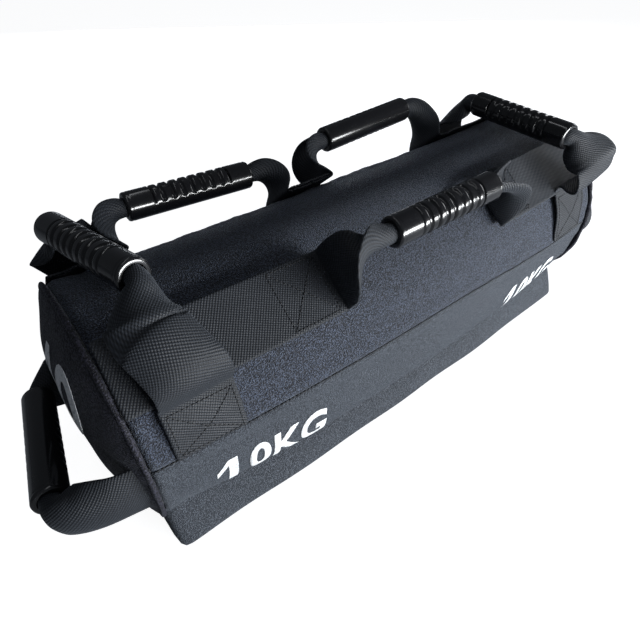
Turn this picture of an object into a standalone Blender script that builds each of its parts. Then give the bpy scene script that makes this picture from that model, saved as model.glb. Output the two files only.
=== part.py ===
import math

import bmesh
import bpy
from mathutils import Matrix, Vector

# Sizes of the filled bag, in metres; it lies along X with its front towards -Y
bag_length = 0.500
bag_radius = 0.0895
end_bulge = 0.019
top_sag = 0.005
seam_drop = 0.008
side_swell = 0.008

# How square the section is: upper half, lower half at the end seams and at mid length
round_power = 2.0
end_power = 2.4
middle_power = 4.4

# How far the floor presses the loaded underside flat
floor_press = 0.0015

# Fabric layers, from the outside in
cover_thickness = 0.0025
lining_thickness = 0.0030
liner_thickness = 0.0010
layer_slack = 0.0010
liner_slack = 0.0018
filling_slack = 0.0024
seat_gap = 0.0003
welt_radius = 0.0015
side_seam_gap = 0.0006

# Webbing and its gathered stretches
webbing_width = 0.050
webbing_thickness = 0.0022
webbing_seat = 0.0005
core_radius = 0.0076
root_end_width = 0.017
root_end_thickness = 0.008
root_end_droop = 0.0020
knuckle_radius = 0.0072
knuckle_clearance = 0.0006
leg_half_width = 0.0115
leg_half_thickness = 0.0052

# Grip tubes
grip_length = 0.110
grip_radius = 0.0116
grip_bore_gap = 0.0004
grip_rib_count = 8
grip_rib_pitch = 0.0085
grip_rib_width = 0.0050
grip_rib_depth = 0.0012
grip_lip = 0.0008

# Shares along a root where its sections stand: run, rise, roundness and draw
side_root_shares = (
    (0.0, 0.0, 0.0, 0.0),
    (0.6, 0.45, 0.3, 0.4),
    (1.0, 1.0, 0.8, 1.0),
)
cross_root_shares = (
    (0.28, 0.0, 0.0, 0.0),
    (0.52, 0.45, 0.1, 0.1),
    (0.78, 0.92, 0.4, 0.5),
    (1.0, 1.0, 0.8, 1.0),
)
end_root_shares = (
    (0.0, 0.0, 0.0, 0.0),
    (0.45, 0.45, 0.3, 0.35),
    (1.0, 1.0, 0.8, 1.0),
)

# Where the rounded foot of a strap has its rings, in degrees, and its leg's middle
knuckle_turns = (20.0, 50.0)
leg_middle_share = 0.55

# Shape common to the handles: how far the webbing runs past the grip and droops there
plain_shape = {
    "lean": 0.0, "shift": 0.0, "tilt": 0.0, "turn": 0.0,
    "first_over": 0.003, "first_droop": 0.0, "second_over": 0.003, "second_droop": 0.0,
}

# Long side handles; their roots lie in bands at an angle from the top line
front_band_angle = 40.0
back_band_angle = 44.0
side_knuckle_lift = 0.0095
side_rise_run = 0.020
front_shape = {**plain_shape, "middle": 0.004, "reach": 0.085, "rise": 0.0310, "lean": -14.0}
back_left_shape = {
    **plain_shape, "middle": -0.117, "reach": 0.069, "rise": 0.0235, "tilt": -3.0,
}
back_right_shape = {
    **plain_shape, "middle": 0.078, "reach": 0.069, "rise": 0.0310, "lean": 10.0,
    "shift": 0.003, "tilt": 3.0,
}

# Cross handles over the top, between sewn boxes at the front and the back
cross_handle_x = 0.208
cross_knuckle_z = 0.1660
cross_box_low_angle = 87.0
cross_box_top_angle = 66.0
cross_over_band_lift = 0.0048
left_cross_shape = {
    **plain_shape, "middle": 0.006, "reach": 0.072, "rise": 0.0290, "lean": -21.0,
    "shift": 0.016, "tilt": -2.2, "turn": 11.7, "first_over": 0.024, "first_droop": 0.007,
    "second_over": 0.007,
}
right_cross_shape = {
    **plain_shape, "middle": -0.010, "reach": 0.075, "rise": 0.0330, "lean": -35.0,
    "shift": -0.0065, "tilt": -2.9, "turn": -3.5, "first_over": 0.024, "first_droop": 0.008,
}

# End handles, standing out from the end seams
end_root_angle = 108.0
end_root_inset = 0.0022
end_root_start = 0.0040
end_knuckle_out = 0.0220
left_end_shape = {**plain_shape, "rise": 0.0265, "lean": 29.0, "tilt": -11.6, "turn": 3.6}
right_end_shape = {**plain_shape, "rise": 0.0265, "lean": -27.0}

# Closing slit and its layers under the bag
slit_back_y = -0.0180
slit_front_y = -0.0340
flap_thickness = 0.0020
flap_edge_y = -0.0860
flap_left_x = -0.2460
flap_right_x = 0.2320
flap_hinge_y = -0.0193
hem_width = 0.0120
hem_thickness = 0.0006
facing_thickness = 0.0012
facing_edge_y = -0.0790
strip_thickness = 0.0008
strip_width = 0.0200
strip_edge_y = -0.0780

# Zip in the slit
zip_left_x = -0.2300
zip_right_x = 0.2340
zip_tape_z = 0.0074
zip_tape_thickness = 0.0006
zip_tape_edge_gap = 0.0015
zip_coil_width = 0.0016
zip_coil_height = 0.0016
zip_coil_split = 0.0014
slider_length = 0.0140
slider_width = 0.0090
slider_plate = 0.0012
slider_post_length = 0.0040
slider_post_width = 0.0008
slider_clearance = 0.0003
tab_length = 0.0120
tab_width = 0.0060
tab_thickness = 0.0010
tab_lug_drop = 0.0018

# End panels: rings of the dome as shares of its rim
panel_ring_shares = (1.0, 0.92, 0.75, 0.5, 0.25)

# Liner bag and filling
liner_flat_share = 0.86
liner_floor = 0.0155
liner_end_gap = 0.0040
liner_mouth_radius = 0.0200
liner_clamp_thickness = 0.0020
liner_clamp_width = 0.0500
liner_clamp_height = 0.0060

# Fineness of the facets
length_steps = 6
cover_step = 7.5
inner_step = 15.0
welt_sides = 6
strap_columns = 5
grip_sides = 14

half_length = bag_length / 2
slit_middle_y = (slit_back_y + slit_front_y) / 2
flap_stack = (
    flap_thickness + facing_thickness + 2 * strip_thickness + 4 * seat_gap
)

collection = bpy.data.collections.new("sandbag_trainer")
cutters = bpy.data.collections.new("cutters")
materials = {}


def clear_scene():
    for item in list(bpy.data.objects):
        bpy.data.objects.remove(item, do_unlink=True)
    bpy.context.scene.collection.children.link(collection)
    bpy.context.scene.collection.children.link(cutters)


def make_material(name, color, roughness, metallic=0.0):
    material = bpy.data.materials.new(name)
    material.use_nodes = True
    shader = material.node_tree.nodes["Principled BSDF"]
    shader.inputs["Base Color"].default_value = (*color, 1.0)
    shader.inputs["Roughness"].default_value = roughness
    shader.inputs["Metallic"].default_value = metallic
    materials[name] = material


def make_materials():
    make_material("grained_fabric", (0.022, 0.023, 0.027), 0.72)
    make_material("webbing", (0.030, 0.031, 0.033), 0.62)
    make_material("grip_plastic", (0.010, 0.010, 0.011), 0.22)
    make_material("flap_fabric", (0.024, 0.025, 0.030), 0.68)
    make_material("hook_and_loop", (0.018, 0.018, 0.019), 0.90)
    make_material("foam", (0.200, 0.205, 0.215), 0.90)
    make_material("liner_sheet", (0.420, 0.400, 0.350), 0.55)
    make_material("filling", (0.480, 0.400, 0.280), 0.95)
    make_material("zip_coil", (0.016, 0.016, 0.017), 0.40)
    make_material("zip_metal", (0.180, 0.180, 0.185), 0.35, 1.0)


def finish(obj, material, smooth=True):
    obj.data.materials.append(materials[material])
    if smooth:
        obj.data.shade_smooth()
        obj.data.set_sharp_from_angle(angle=math.radians(40))
    return obj


def object_from_bmesh(name, bm, material, smooth=True):
    bmesh.ops.recalc_face_normals(bm, faces=bm.faces)
    mesh = bpy.data.meshes.new(name)
    bm.to_mesh(mesh)
    bm.free()
    obj = bpy.data.objects.new(name, mesh)
    collection.objects.link(obj)
    return finish(obj, material, smooth)


def make_empty(name, place):
    empty = bpy.data.objects.new(name, None)
    empty.matrix_world = place
    collection.objects.link(empty)
    return empty


def fullness(x):
    """Share of the sag and swell at a place along the bag: 0 at the end seams."""
    return max(0.0, 1.0 - (x / half_length) ** 2)


def seam_height(x):
    return bag_radius - seam_drop * fullness(x)


def side_reach(x):
    return bag_radius + side_swell * fullness(x)


def lower_power(x):
    return end_power + (middle_power - end_power) * fullness(x)


def front_floor(x):
    """Height of the front underside's lowest line, which clears the flap's layers."""
    power = lower_power(x)
    side = side_reach(x)
    height = seam_height(x)
    bend = (1.0 - (-slit_front_y / side) ** power) ** (1.0 / power)
    return max(0.0, height - (height - flap_stack) / bend)


def skin_point(x, angle, lift=0.0, floor=None):
    """Point of the bag's outer skin at an angle from the top line, positive to the front."""
    centre = seam_height(x)
    turn = math.radians(angle)
    across = abs(math.sin(turn))
    along = abs(math.cos(turn))
    wide = side_reach(x) + lift
    if abs(angle) <= 90.0:
        tall = 2 * bag_radius - top_sag * fullness(x) - centre + lift
        power = round_power
    else:
        under = floor
        if under is None:
            under = front_floor(x) - lift if angle > 0 else -lift - floor_press
        tall = centre - under
        power = lower_power(x)
    reach = ((across / wide) ** power + (along / tall) ** power) ** (-1.0 / power)
    point = Vector((x, -reach * math.sin(turn), centre + reach * math.cos(turn)))
    if floor is None and angle < -90.0:
        point.z = max(point.z, -lift)
    return point


def angle_at(x, y, under):
    """Angle from the top line, without its sign, of a point under the bag."""
    return 180.0 - math.degrees(math.atan2(abs(y), seam_height(x) - under))


def steps_for(start, end, step):
    return max(1, round(abs(end - start) / step))


def skin_patch(name, spans, step, lift, thickness, material):
    """Fabric shell between two angles, which may change along the bag."""
    reach = half_length - welt_radius - seat_gap
    columns = steps_for(spans(0.0)[0], spans(0.0)[1], step)
    bm = bmesh.new()
    bmesh.ops.create_grid(bm, x_segments=length_steps, y_segments=columns, size=1.0)
    for vert in bm.verts:
        x = vert.co.x * reach
        low, high = spans(x)
        angle = low + (high - low) * (vert.co.y + 1.0) / 2.0
        vert.co = skin_point(x, angle, lift)
    obj = object_from_bmesh(name, bm, material)
    face = obj.data.polygons[0]
    outward = face.center - Vector((face.center.x, 0.0, seam_height(face.center.x)))
    if face.normal.dot(outward) < 0:
        obj.data.flip_normals()
    shell = obj.modifiers.new("fabric", "SOLIDIFY")
    shell.thickness = thickness
    shell.offset = -1.0
    shell.use_even_offset = True
    return obj


def make_covers():
    seam_turn = math.degrees(side_seam_gap / 2 / bag_radius)

    def upper(x):
        return -90.0 + seam_turn, 90.0 - seam_turn

    def lower_front(x):
        return 90.0 + seam_turn, angle_at(x, slit_front_y, flap_stack)

    def lower_back(x):
        past = 180.0 - angle_at(x, slit_back_y, -floor_press)
        return -180.0 - past, -90.0 - seam_turn

    skin_patch("upper_cover", upper, cover_step, 0.0, cover_thickness, "grained_fabric")
    skin_patch(
        "lower_front_cover", lower_front, cover_step, 0.0, cover_thickness, "grained_fabric"
    )
    skin_patch(
        "lower_back_cover", lower_back, cover_step, 0.0, cover_thickness, "grained_fabric"
    )


def make_lining():
    lift = -(cover_thickness + layer_slack)

    def spans(x):
        past = 180.0 - angle_at(x, slit_back_y, -floor_press)
        return -180.0 - past, angle_at(x, slit_front_y, flap_stack)

    skin_patch("foam_lining", spans, inner_step, lift, lining_thickness, "foam")


def ring_of_skin(x, lift, floor, step, shrink=1.0):
    """Closed ring round the bag, drawn in towards its middle by a share."""
    count = round(360.0 / step)
    centre = Vector((x, 0.0, seam_height(x)))
    ring = []
    for index in range(count):
        angle = -180.0 + step * index
        point = skin_point(x, angle, lift, floor)
        ring.append(centre + (point - centre) * shrink)
    return ring


def loft(name, rings, material, caps=True, closed=False):
    """Closed body through a row of rings that have the same number of points."""
    bm = bmesh.new()
    rows = [[bm.verts.new(point) for point in ring] for ring in rings]
    pairs = list(zip(rows, rows[1:]))
    if closed:
        pairs.append((rows[-1], rows[0]))
    for first, second in pairs:
        count = len(first)
        for index in range(count):
            after = (index + 1) % count
            bm.faces.new((first[index], first[after], second[after], second[index]))
    if caps:
        bm.faces.new(reversed(rows[0]))
        bm.faces.new(rows[-1])
    return object_from_bmesh(name, bm, material)


def liner_rings(lift, floor, half, mouth):
    """Rings of the liner from its closed left end to its right end or mouth."""
    rings = [ring_of_skin(-half, lift, floor, inner_step, liner_flat_share)]
    for step in range(length_steps + 1):
        shoulder = half - liner_end_gap * 2
        x = -shoulder + 2 * shoulder * step / length_steps
        rings.append(ring_of_skin(x, lift, floor, inner_step))
    rings.append(ring_of_skin(half, lift, floor, inner_step, liner_flat_share))
    if mouth:
        rings.append(ring_of_skin(half, lift, floor, inner_step, mouth / bag_radius))
    return rings


def make_liner_and_filling():
    lift = -(cover_thickness + layer_slack + lining_thickness + liner_slack)
    half = half_length - liner_end_gap
    outer = liner_rings(lift, liner_floor, half, liner_mouth_radius)
    inner_lift = lift - liner_thickness
    inner_floor = liner_floor + liner_thickness
    inner = liner_rings(
        inner_lift, inner_floor, half - liner_thickness, liner_mouth_radius
    )
    loft("liner_bag", outer + inner[::-1], "liner_sheet")
    fill_lift = inner_lift - filling_slack
    fill_floor = inner_floor + filling_slack
    fill_half = half - liner_thickness - filling_slack
    loft("filling", liner_rings(fill_lift, fill_floor, fill_half, 0.0), "filling")
    place = Vector((half + seat_gap + liner_clamp_thickness / 2, 0.0, seam_height(half)))
    size = (liner_clamp_thickness, liner_clamp_width, liner_clamp_height)
    make_box("liner_clamp", place, size, "zip_coil", smooth=False)


def make_box(name, centre, size, material, smooth=True):
    bm = bmesh.new()
    bmesh.ops.create_cube(bm, size=1.0)
    bmesh.ops.scale(bm, vec=Vector(size), verts=bm.verts)
    obj = object_from_bmesh(name, bm, material, smooth)
    obj.location = centre
    return obj


def make_end_panel(name, side):
    """Domed fabric disc, its rim just outside the welt."""
    rim_x = half_length + welt_radius + seat_gap
    rings = []
    for depth in (0.0, cover_thickness):
        layer = []
        for share in panel_ring_shares:
            ring = ring_of_skin(half_length, 0.0, None, cover_step, share)
            x = rim_x + end_bulge * (1.0 - share ** 2) - depth
            if depth > 0.0:
                inward = 1.0 - depth / bag_radius
                ring = ring_of_skin(half_length, 0.0, None, cover_step, share * inward)
            if share == 1.0:
                x = rim_x
            layer.append([Vector((side * x, p.y, p.z)) for p in ring])
        rings.append(layer)
    bm = bmesh.new()
    loops = rings[0][::-1] + rings[1]
    rows = [[bm.verts.new(point) for point in ring] for ring in loops]
    for first, second in zip(rows, rows[1:]):
        count = len(first)
        for index in range(count):
            after = (index + 1) % count
            bm.faces.new((first[index], first[after], second[after], second[index]))
    for row, depth in ((rows[0], 0.0), (rows[-1], cover_thickness)):
        tip = Vector((side * (rim_x + end_bulge - depth), 0.0, seam_height(half_length)))
        middle = bm.verts.new(tip)
        for index in range(len(row)):
            bm.faces.new((row[index], row[(index + 1) % len(row)], middle))
    object_from_bmesh(name, bm, "grained_fabric")


def make_welt(name, side):
    """Sewn ridge between the covers and an end panel."""
    x = side * half_length
    guide = ring_of_skin(half_length, -welt_radius / 2, None, cover_step)
    centre = Vector((x, 0.0, seam_height(half_length)))
    rings = []
    for point in guide:
        middle = Vector((x, point.y, max(point.z, welt_radius)))
        outward = (middle - centre).normalized()
        ring = []
        for index in range(welt_sides):
            turn = 2 * math.pi * index / welt_sides
            along = Vector((math.sin(turn) * welt_radius, 0.0, 0.0))
            ring.append(middle + along + outward * math.cos(turn) * welt_radius)
        rings.append(ring)
    loft(name, rings, "grained_fabric", caps=False, closed=True)


def strap_ring(roundness, half_width, half_thickness, radius=None):
    """Points round a strap's section: 0 is flat webbing, 1 is an oval."""
    wide = half_width if radius is None else radius
    thick = half_thickness if radius is None else radius
    count = strap_columns
    spread = math.pi / (count + 1)
    points = []
    for side in (1, -1):
        for index in range(count + 1):
            share = index / count
            flat = Vector((-half_width + 2 * half_width * share, half_thickness))
            turn = math.pi - spread / 2 - (math.pi - spread) * share
            oval = Vector((math.cos(turn) * wide, math.sin(turn) * thick))
            point = flat.lerp(oval, roundness)
            points.append((point.x * side, point.y * side))
    return points


def path_slopes(path):
    """Direction of a path at each of its points, as an angle in its own plane."""
    slopes = []
    for index in range(len(path)):
        before = path[max(0, index - 1)]
        after = path[min(len(path) - 1, index + 1)]
        slopes.append(math.atan2(after[1] - before[1], after[0] - before[0]))
    return slopes


def lengthwise_rings(path, shapes, angle):
    """Rings of webbing that runs along X at an angle; the path holds x and lift."""
    rings = []
    for (x, lift), slope, shape in zip(path, path_slopes(path), shapes):
        ring = []
        for across, up in strap_ring(*shape):
            turn = angle + math.degrees(across / (bag_radius + lift))
            ring.append(
                skin_point(x - up * math.sin(slope), turn, lift + up * math.cos(slope))
            )
        rings.append(ring)
    return rings


def crosswise_rings(path, shapes, side_sign):
    """Rings of webbing that runs round the bag; the path holds x, angle and lift."""
    flat = [(-angle * math.radians(1.0) * bag_radius, lift) for _, angle, lift in path]
    rings = []
    for (x, angle, lift), slope, shape in zip(path, path_slopes(flat), shapes):
        ring = []
        for across, up in strap_ring(*shape):
            back = math.degrees(up * math.sin(slope) / (bag_radius + lift))
            turn = side_sign * (angle + back)
            ring.append(skin_point(x + across, turn, lift + up * math.cos(slope)))
        rings.append(ring)
    return rings


def drawn_in(roundness, draw):
    """Section of a root that has drawn in by a share from flat webbing to its end."""
    wide = webbing_width / 2
    thick = webbing_thickness / 2
    end_wide = root_end_width / 2
    end_thick = root_end_thickness / 2
    return (roundness, wide + (end_wide - wide) * draw, thick + (end_thick - thick) * draw)


def root_shapes(shares):
    return [drawn_in(roundness, draw) for _, _, roundness, draw in shares]


def side_rise(knuckle_x, direction):
    """Path of a side handle's root, from the bag's skin up to its knuckle."""
    seat = webbing_seat + webbing_thickness / 2
    rise = side_knuckle_lift - root_end_droop - seat
    end = knuckle_x - direction * (knuckle_radius + knuckle_clearance)
    path = []
    for run_share, rise_share, _, _ in side_root_shares:
        x = end - direction * side_rise_run * (1.0 - run_share)
        path.append((x, seat + rise * rise_share))
    return path


def make_side_band(name, angle, start_x, knuckle_x):
    """Stretch of lengthwise webbing from an end seam to a handle's knuckle."""
    direction = 1.0 if knuckle_x > start_x else -1.0
    seat = webbing_seat + webbing_thickness / 2
    rise = side_rise(knuckle_x, direction)
    count = max(2, steps_for(start_x, rise[0][0], bag_length / length_steps) * 2)
    path = []
    for step in range(count):
        path.append((start_x + (rise[0][0] - start_x) * step / count, seat))
    path += rise
    shapes = [drawn_in(0.0, 0.0)] * count + root_shapes(side_root_shares)
    if direction < 0:
        path.reverse()
        shapes.reverse()
    loft(name, lengthwise_rings(path, shapes, angle), "webbing")


def make_middle_band(name, angle, left_x, right_x):
    """Short stretch between the two back handles, with a root at each end."""
    left = side_rise(left_x, -1.0)
    right = side_rise(right_x, 1.0)
    path = left[::-1] + right
    shapes = root_shapes(side_root_shares)[::-1] + root_shapes(side_root_shares)
    loft(name, lengthwise_rings(path, shapes, angle), "webbing")


def cross_root_path(centre_x, knuckle):
    """Path of a cross handle's root from its sewn box up to its knuckle."""
    seat = webbing_seat + webbing_thickness / 2
    middle = Vector((centre_x, 0.0, seam_height(centre_x)))
    arm = knuckle - middle
    knuckle_angle = math.degrees(math.atan2(abs(arm.y), arm.z))
    surface = skin_point(centre_x, knuckle_angle)
    end_lift = arm.length - (surface - middle).length - root_end_droop
    end_turn = math.degrees((knuckle_radius + knuckle_clearance) / arm.length)
    span = cross_box_top_angle - knuckle_angle - end_turn
    box_middle_angle = (cross_box_low_angle + cross_box_top_angle) / 2
    path = []
    for angle in (cross_box_low_angle, box_middle_angle, cross_box_top_angle):
        path.append((centre_x, angle, seat))
    rise = end_lift - cross_over_band_lift
    for run_share, rise_share, _, _ in cross_root_shares:
        angle = cross_box_top_angle - span * run_share
        path.append((centre_x, angle, cross_over_band_lift + rise * rise_share))
    return path


def make_cross_root(name, side_sign, centre_x, knuckle):
    path = cross_root_path(centre_x, knuckle)
    box_rings = len(path) - len(cross_root_shares)
    shapes = [drawn_in(0.0, 0.0)] * box_rings + root_shapes(cross_root_shares)
    loft(name, crosswise_rings(path, shapes, side_sign), "webbing")


def make_end_root(name, side, angle, knuckle_x):
    """Stub of an end handle's webbing, sewn into the end seam."""
    start = half_length + end_root_start
    end = abs(knuckle_x) - knuckle_radius - knuckle_clearance
    path = []
    for run_share, _, _, _ in end_root_shares:
        path.append((side * (start + (end - start) * run_share), -end_root_inset))
    shapes = root_shapes(end_root_shares)
    if side < 0:
        path.reverse()
        shapes.reverse()
    loft(name, lengthwise_rings(path, shapes, angle), "webbing")


def handle_place(centre, along, outward, lean):
    """Frame of a handle: its hinge runs along local X, the grip stands on local Z."""
    across = outward.cross(along)
    turn = Matrix((along, across, outward)).transposed().to_4x4()
    lean_turn = Matrix.Rotation(math.radians(lean), 4, "X")
    return Matrix.Translation(centre) @ turn @ lean_turn


def grip_line(shape, x):
    """Point at a place along the hinge of the line through the grip's middle."""
    off = x - shape["shift"]
    y = off * math.tan(math.radians(shape["turn"]))
    z = shape["rise"] + off * math.tan(math.radians(shape["tilt"]))
    return Vector((x, y, z))


def strap_stations(shape, side):
    """Half of a handle strap, from its knuckle to the grip, as places and sections."""
    prefix = "first" if side < 0 else "second"
    knuckle = Vector((side * shape["reach"], 0.0, 0.0))
    entry_x = shape["shift"] + side * grip_length / 2
    bend = grip_line(shape, entry_x + side * shape[prefix + "_over"])
    bend.z -= shape[prefix + "_droop"]
    leg = (bend - knuckle).normalized()
    stations = []
    for turn in knuckle_turns:
        back = math.cos(math.radians(turn)) * knuckle_radius
        ring = math.sin(math.radians(turn)) * knuckle_radius
        stations.append((knuckle - leg * back, leg, (1.0, ring, ring)))
    stations.append((knuckle, leg, (1.0, knuckle_radius, knuckle_radius)))
    oval = (1.0, leg_half_width, leg_half_thickness)
    stations.append((knuckle.lerp(bend, leg_middle_share), leg, oval))
    entry = grip_line(shape, entry_x)
    inward = (grip_line(shape, shape["shift"]) - entry).normalized()
    stations.append((bend, (leg + inward).normalized(), oval))
    stations.append((entry, inward, (1.0, core_radius, core_radius)))
    return stations


def strap_ring_at(spot, heading, shape):
    """Section of a strap that stands square to its heading."""
    side = Vector((0.0, 1.0, 0.0))
    side = (side - heading * side.dot(heading)).normalized()
    normal = heading.cross(side)
    return [spot + side * across + normal * up for across, up in strap_ring(*shape)]


def make_strap(name, shape):
    """Gathered webbing from knuckle to knuckle, through the grip."""
    stations = strap_stations(shape, -1)
    for spot, heading, section in reversed(strap_stations(shape, 1)):
        stations.append((spot, -heading, section))
    return loft(name, [strap_ring_at(*station) for station in stations], "webbing")


def grip_profile():
    """Outer side of a grip from top to bottom, then its bore from bottom to top."""
    half = grip_length / 2
    bore = core_radius + grip_bore_gap
    points = [(grip_radius - grip_lip, half), (grip_radius, half - grip_lip)]
    start = grip_rib_pitch * (grip_rib_count - 1) / 2
    for index in range(grip_rib_count):
        middle = start - grip_rib_pitch * index
        points.append((grip_radius, middle + grip_rib_width / 2))
        points.append((grip_radius - grip_rib_depth, middle))
    points.append((grip_radius, -start - grip_rib_width / 2))
    points.append((grip_radius, grip_lip - half))
    points.append((grip_radius - grip_lip, -half))
    points.append((bore, -half))
    points.append((bore, half))
    return points


def grip_mesh():
    bm = bmesh.new()
    verts = [bm.verts.new((radius, 0.0, z)) for radius, z in grip_profile()]
    for index in range(len(verts)):
        bm.edges.new((verts[index], verts[(index + 1) % len(verts)]))
    mesh = bpy.data.meshes.new("grip")
    bm.to_mesh(mesh)
    bm.free()
    return mesh


def make_grip(name, mesh, shape):
    obj = bpy.data.objects.new(name, mesh)
    collection.objects.link(obj)
    centre = grip_line(shape, shape["shift"])
    along = grip_line(shape, shape["shift"] + grip_length) - centre
    turn = along.to_track_quat("Z", "Y").to_matrix().to_4x4()
    obj.matrix_world = Matrix.Translation(centre) @ turn
    screw = obj.modifiers.new("turned", "SCREW")
    screw.axis = "Z"
    screw.steps = grip_sides
    screw.render_steps = grip_sides
    screw.use_merge_vertices = True
    screw.merge_threshold = 0.00001
    return obj


def make_handle(name, mesh, place, shape):
    """One handle: an empty on its hinge line carries the strap and the grip."""
    hinge = make_empty(name + "_hinge", place)
    make_strap(name + "_strap", shape).parent = hinge
    make_grip(name + "_grip", mesh, shape).parent = hinge


def make_side_handle(name, mesh, angle, shape):
    reach = shape["reach"]
    left = skin_point(shape["middle"] - reach, angle, side_knuckle_lift)
    right = skin_point(shape["middle"] + reach, angle, side_knuckle_lift)
    turn = math.radians(angle)
    outward = Vector((0.0, -math.sin(turn), math.cos(turn)))
    along = Vector((1.0, 0.0, 0.0))
    place = handle_place((left + right) / 2, along, outward, shape["lean"])
    make_handle(name, mesh, place, shape)


def make_side_handles(mesh):
    seam_end = half_length - welt_radius - seat_gap
    front = front_band_angle
    back = -back_band_angle
    make_side_handle("front_handle", mesh, front, front_shape)
    make_side_handle("back_left_handle", mesh, back, back_left_shape)
    make_side_handle("back_right_handle", mesh, back, back_right_shape)
    ends = []
    for shape in (front_shape, back_left_shape, back_right_shape):
        ends.append((shape["middle"] - shape["reach"], shape["middle"] + shape["reach"]))
    make_side_band("front_band_left", front, -seam_end, ends[0][0])
    make_side_band("front_band_right", front, seam_end, ends[0][1])
    make_side_band("back_band_left", back, -seam_end, ends[1][0])
    make_side_band("back_band_right", back, seam_end, ends[2][1])
    make_middle_band("back_band_middle", back, ends[1][1], ends[2][0])


def make_cross_handle(name, mesh, centre_x, shape):
    centre = Vector((centre_x, shape["middle"], cross_knuckle_z))
    along = Vector((0.0, 1.0, 0.0))
    place = handle_place(centre, along, Vector((0.0, 0.0, 1.0)), shape["lean"])
    make_handle(name, mesh, place, shape)
    for side_name, side_sign in (("front", 1), ("back", -1)):
        knuckle = centre - along * shape["reach"] * side_sign
        make_cross_root(f"{name}_{side_name}_root", side_sign, centre_x, knuckle)


def make_end_handle(name, mesh, side, shape):
    knuckle_x = side * (half_length + end_knuckle_out)
    knuckle = skin_point(knuckle_x, end_root_angle, -end_root_inset)
    centre = Vector((knuckle_x, 0.0, knuckle.z))
    outward = Vector((side, 0.0, 0.0))
    place = handle_place(centre, Vector((0.0, 1.0, 0.0)), outward, shape["lean"])
    make_handle(name, mesh, place, {**shape, "reach": -knuckle.y})
    make_end_root(name + "_front_root", side, end_root_angle, knuckle_x)
    make_end_root(name + "_back_root", side, -end_root_angle, knuckle_x)


def prism(name, outline, start_x, end_x, material):
    """Straight body with one outline in the YZ plane, between two places along X."""
    rings = []
    for x in (start_x, end_x):
        rings.append([Vector((x, y, z)) for y, z in outline])
    return loft(name, rings, material)


def box_outline(first_y, second_y, low_z, high_z):
    return [(first_y, low_z), (second_y, low_z), (second_y, high_z), (first_y, high_z)]


def set_origin(obj, origin):
    """Moves an object's origin to a joint's axis and leaves its shape in place."""
    obj.data.transform(Matrix.Translation(-origin))
    obj.matrix_world = Matrix.Translation(origin)


def make_flap():
    """Outer flap with a rounded root on its fold line, hem bands and hook strip."""
    radius = flap_thickness / 2
    outline = [(flap_edge_y, flap_thickness), (flap_edge_y, 0.0)]
    for step in range(5):
        turn = math.radians(-90 + 45 * step)
        outline.append(
            (flap_hinge_y + math.cos(turn) * radius, radius + math.sin(turn) * radius)
        )
    origin = Vector((0.0, flap_hinge_y, radius))
    fold = make_empty("flap_fold", Matrix.Translation(origin))
    pieces = [prism("closing_flap", outline, flap_left_x, flap_right_x, "flap_fabric")]
    low = flap_thickness + seat_gap
    strip_back_y = strip_edge_y + strip_width
    inner_left = flap_left_x + hem_width + seat_gap
    inner_right = flap_right_x - hem_width - seat_gap
    strip = box_outline(strip_edge_y, strip_back_y, low, low + strip_thickness)
    pieces.append(prism("hook_strip", strip, inner_left, inner_right, "hook_and_loop"))
    hem = box_outline(flap_edge_y, flap_hinge_y - radius, low, low + hem_thickness)
    for name, start in (
        ("flap_hem_left", flap_left_x),
        ("flap_hem_right", flap_right_x - hem_width),
    ):
        pieces.append(prism(name, hem, start, start + hem_width, "flap_fabric"))
    for piece in pieces:
        set_origin(piece, origin)
        place = piece.matrix_world.copy()
        piece.parent = fold
        piece.matrix_parent_inverse = Matrix.Translation(-origin)
        piece.matrix_world = place


def make_facing():
    """Inner layer that the flap closes against, with its loop strip."""
    top = flap_stack - seat_gap
    low = top - facing_thickness
    facing = box_outline(facing_edge_y, slit_front_y, low, top)
    prism("closing_facing", facing, flap_left_x, flap_right_x, "flap_fabric")
    strip_top = low - seat_gap
    strip = box_outline(
        strip_edge_y, strip_edge_y + strip_width, strip_top - strip_thickness, strip_top
    )
    inner_left = flap_left_x + hem_width + seat_gap
    inner_right = flap_right_x - hem_width - seat_gap
    prism("loop_strip", strip, inner_left, inner_right, "hook_and_loop")


def make_zip():
    """Tapes and coils; the slider's post runs in the split between the coils."""
    coil_in = zip_coil_split / 2
    coil_out = coil_in + zip_coil_width
    tape_in = coil_out + seat_gap
    tape_low = zip_tape_z
    tape_high = zip_tape_z + zip_tape_thickness
    coil_low = zip_tape_z + zip_tape_thickness / 2 - zip_coil_height / 2
    coil_high = coil_low + zip_coil_height
    for name, side, edge_y in (("front", -1, slit_front_y), ("back", 1, slit_back_y)):
        inner = slit_middle_y + side * tape_in
        outer = edge_y - side * zip_tape_edge_gap
        tape = box_outline(outer, inner, tape_low, tape_high)
        prism(f"zip_{name}_tape", tape, zip_left_x, zip_right_x, "webbing")
        first = slit_middle_y + side * coil_out
        second = slit_middle_y + side * coil_in
        coil = box_outline(first, second, coil_low, coil_high)
        prism(f"zip_{name}_coil", coil, zip_left_x, zip_right_x, "zip_coil")
    make_slider(coil_low, coil_high)


def union_into(target, others):
    for other in others:
        collection.objects.unlink(other)
        cutters.objects.link(other)
        other.hide_render = True
        other.display_type = "WIRE"
        join = target.modifiers.new("join", "BOOLEAN")
        join.operation = "UNION"
        join.object = other
        join.solver = "EXACT"


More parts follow.
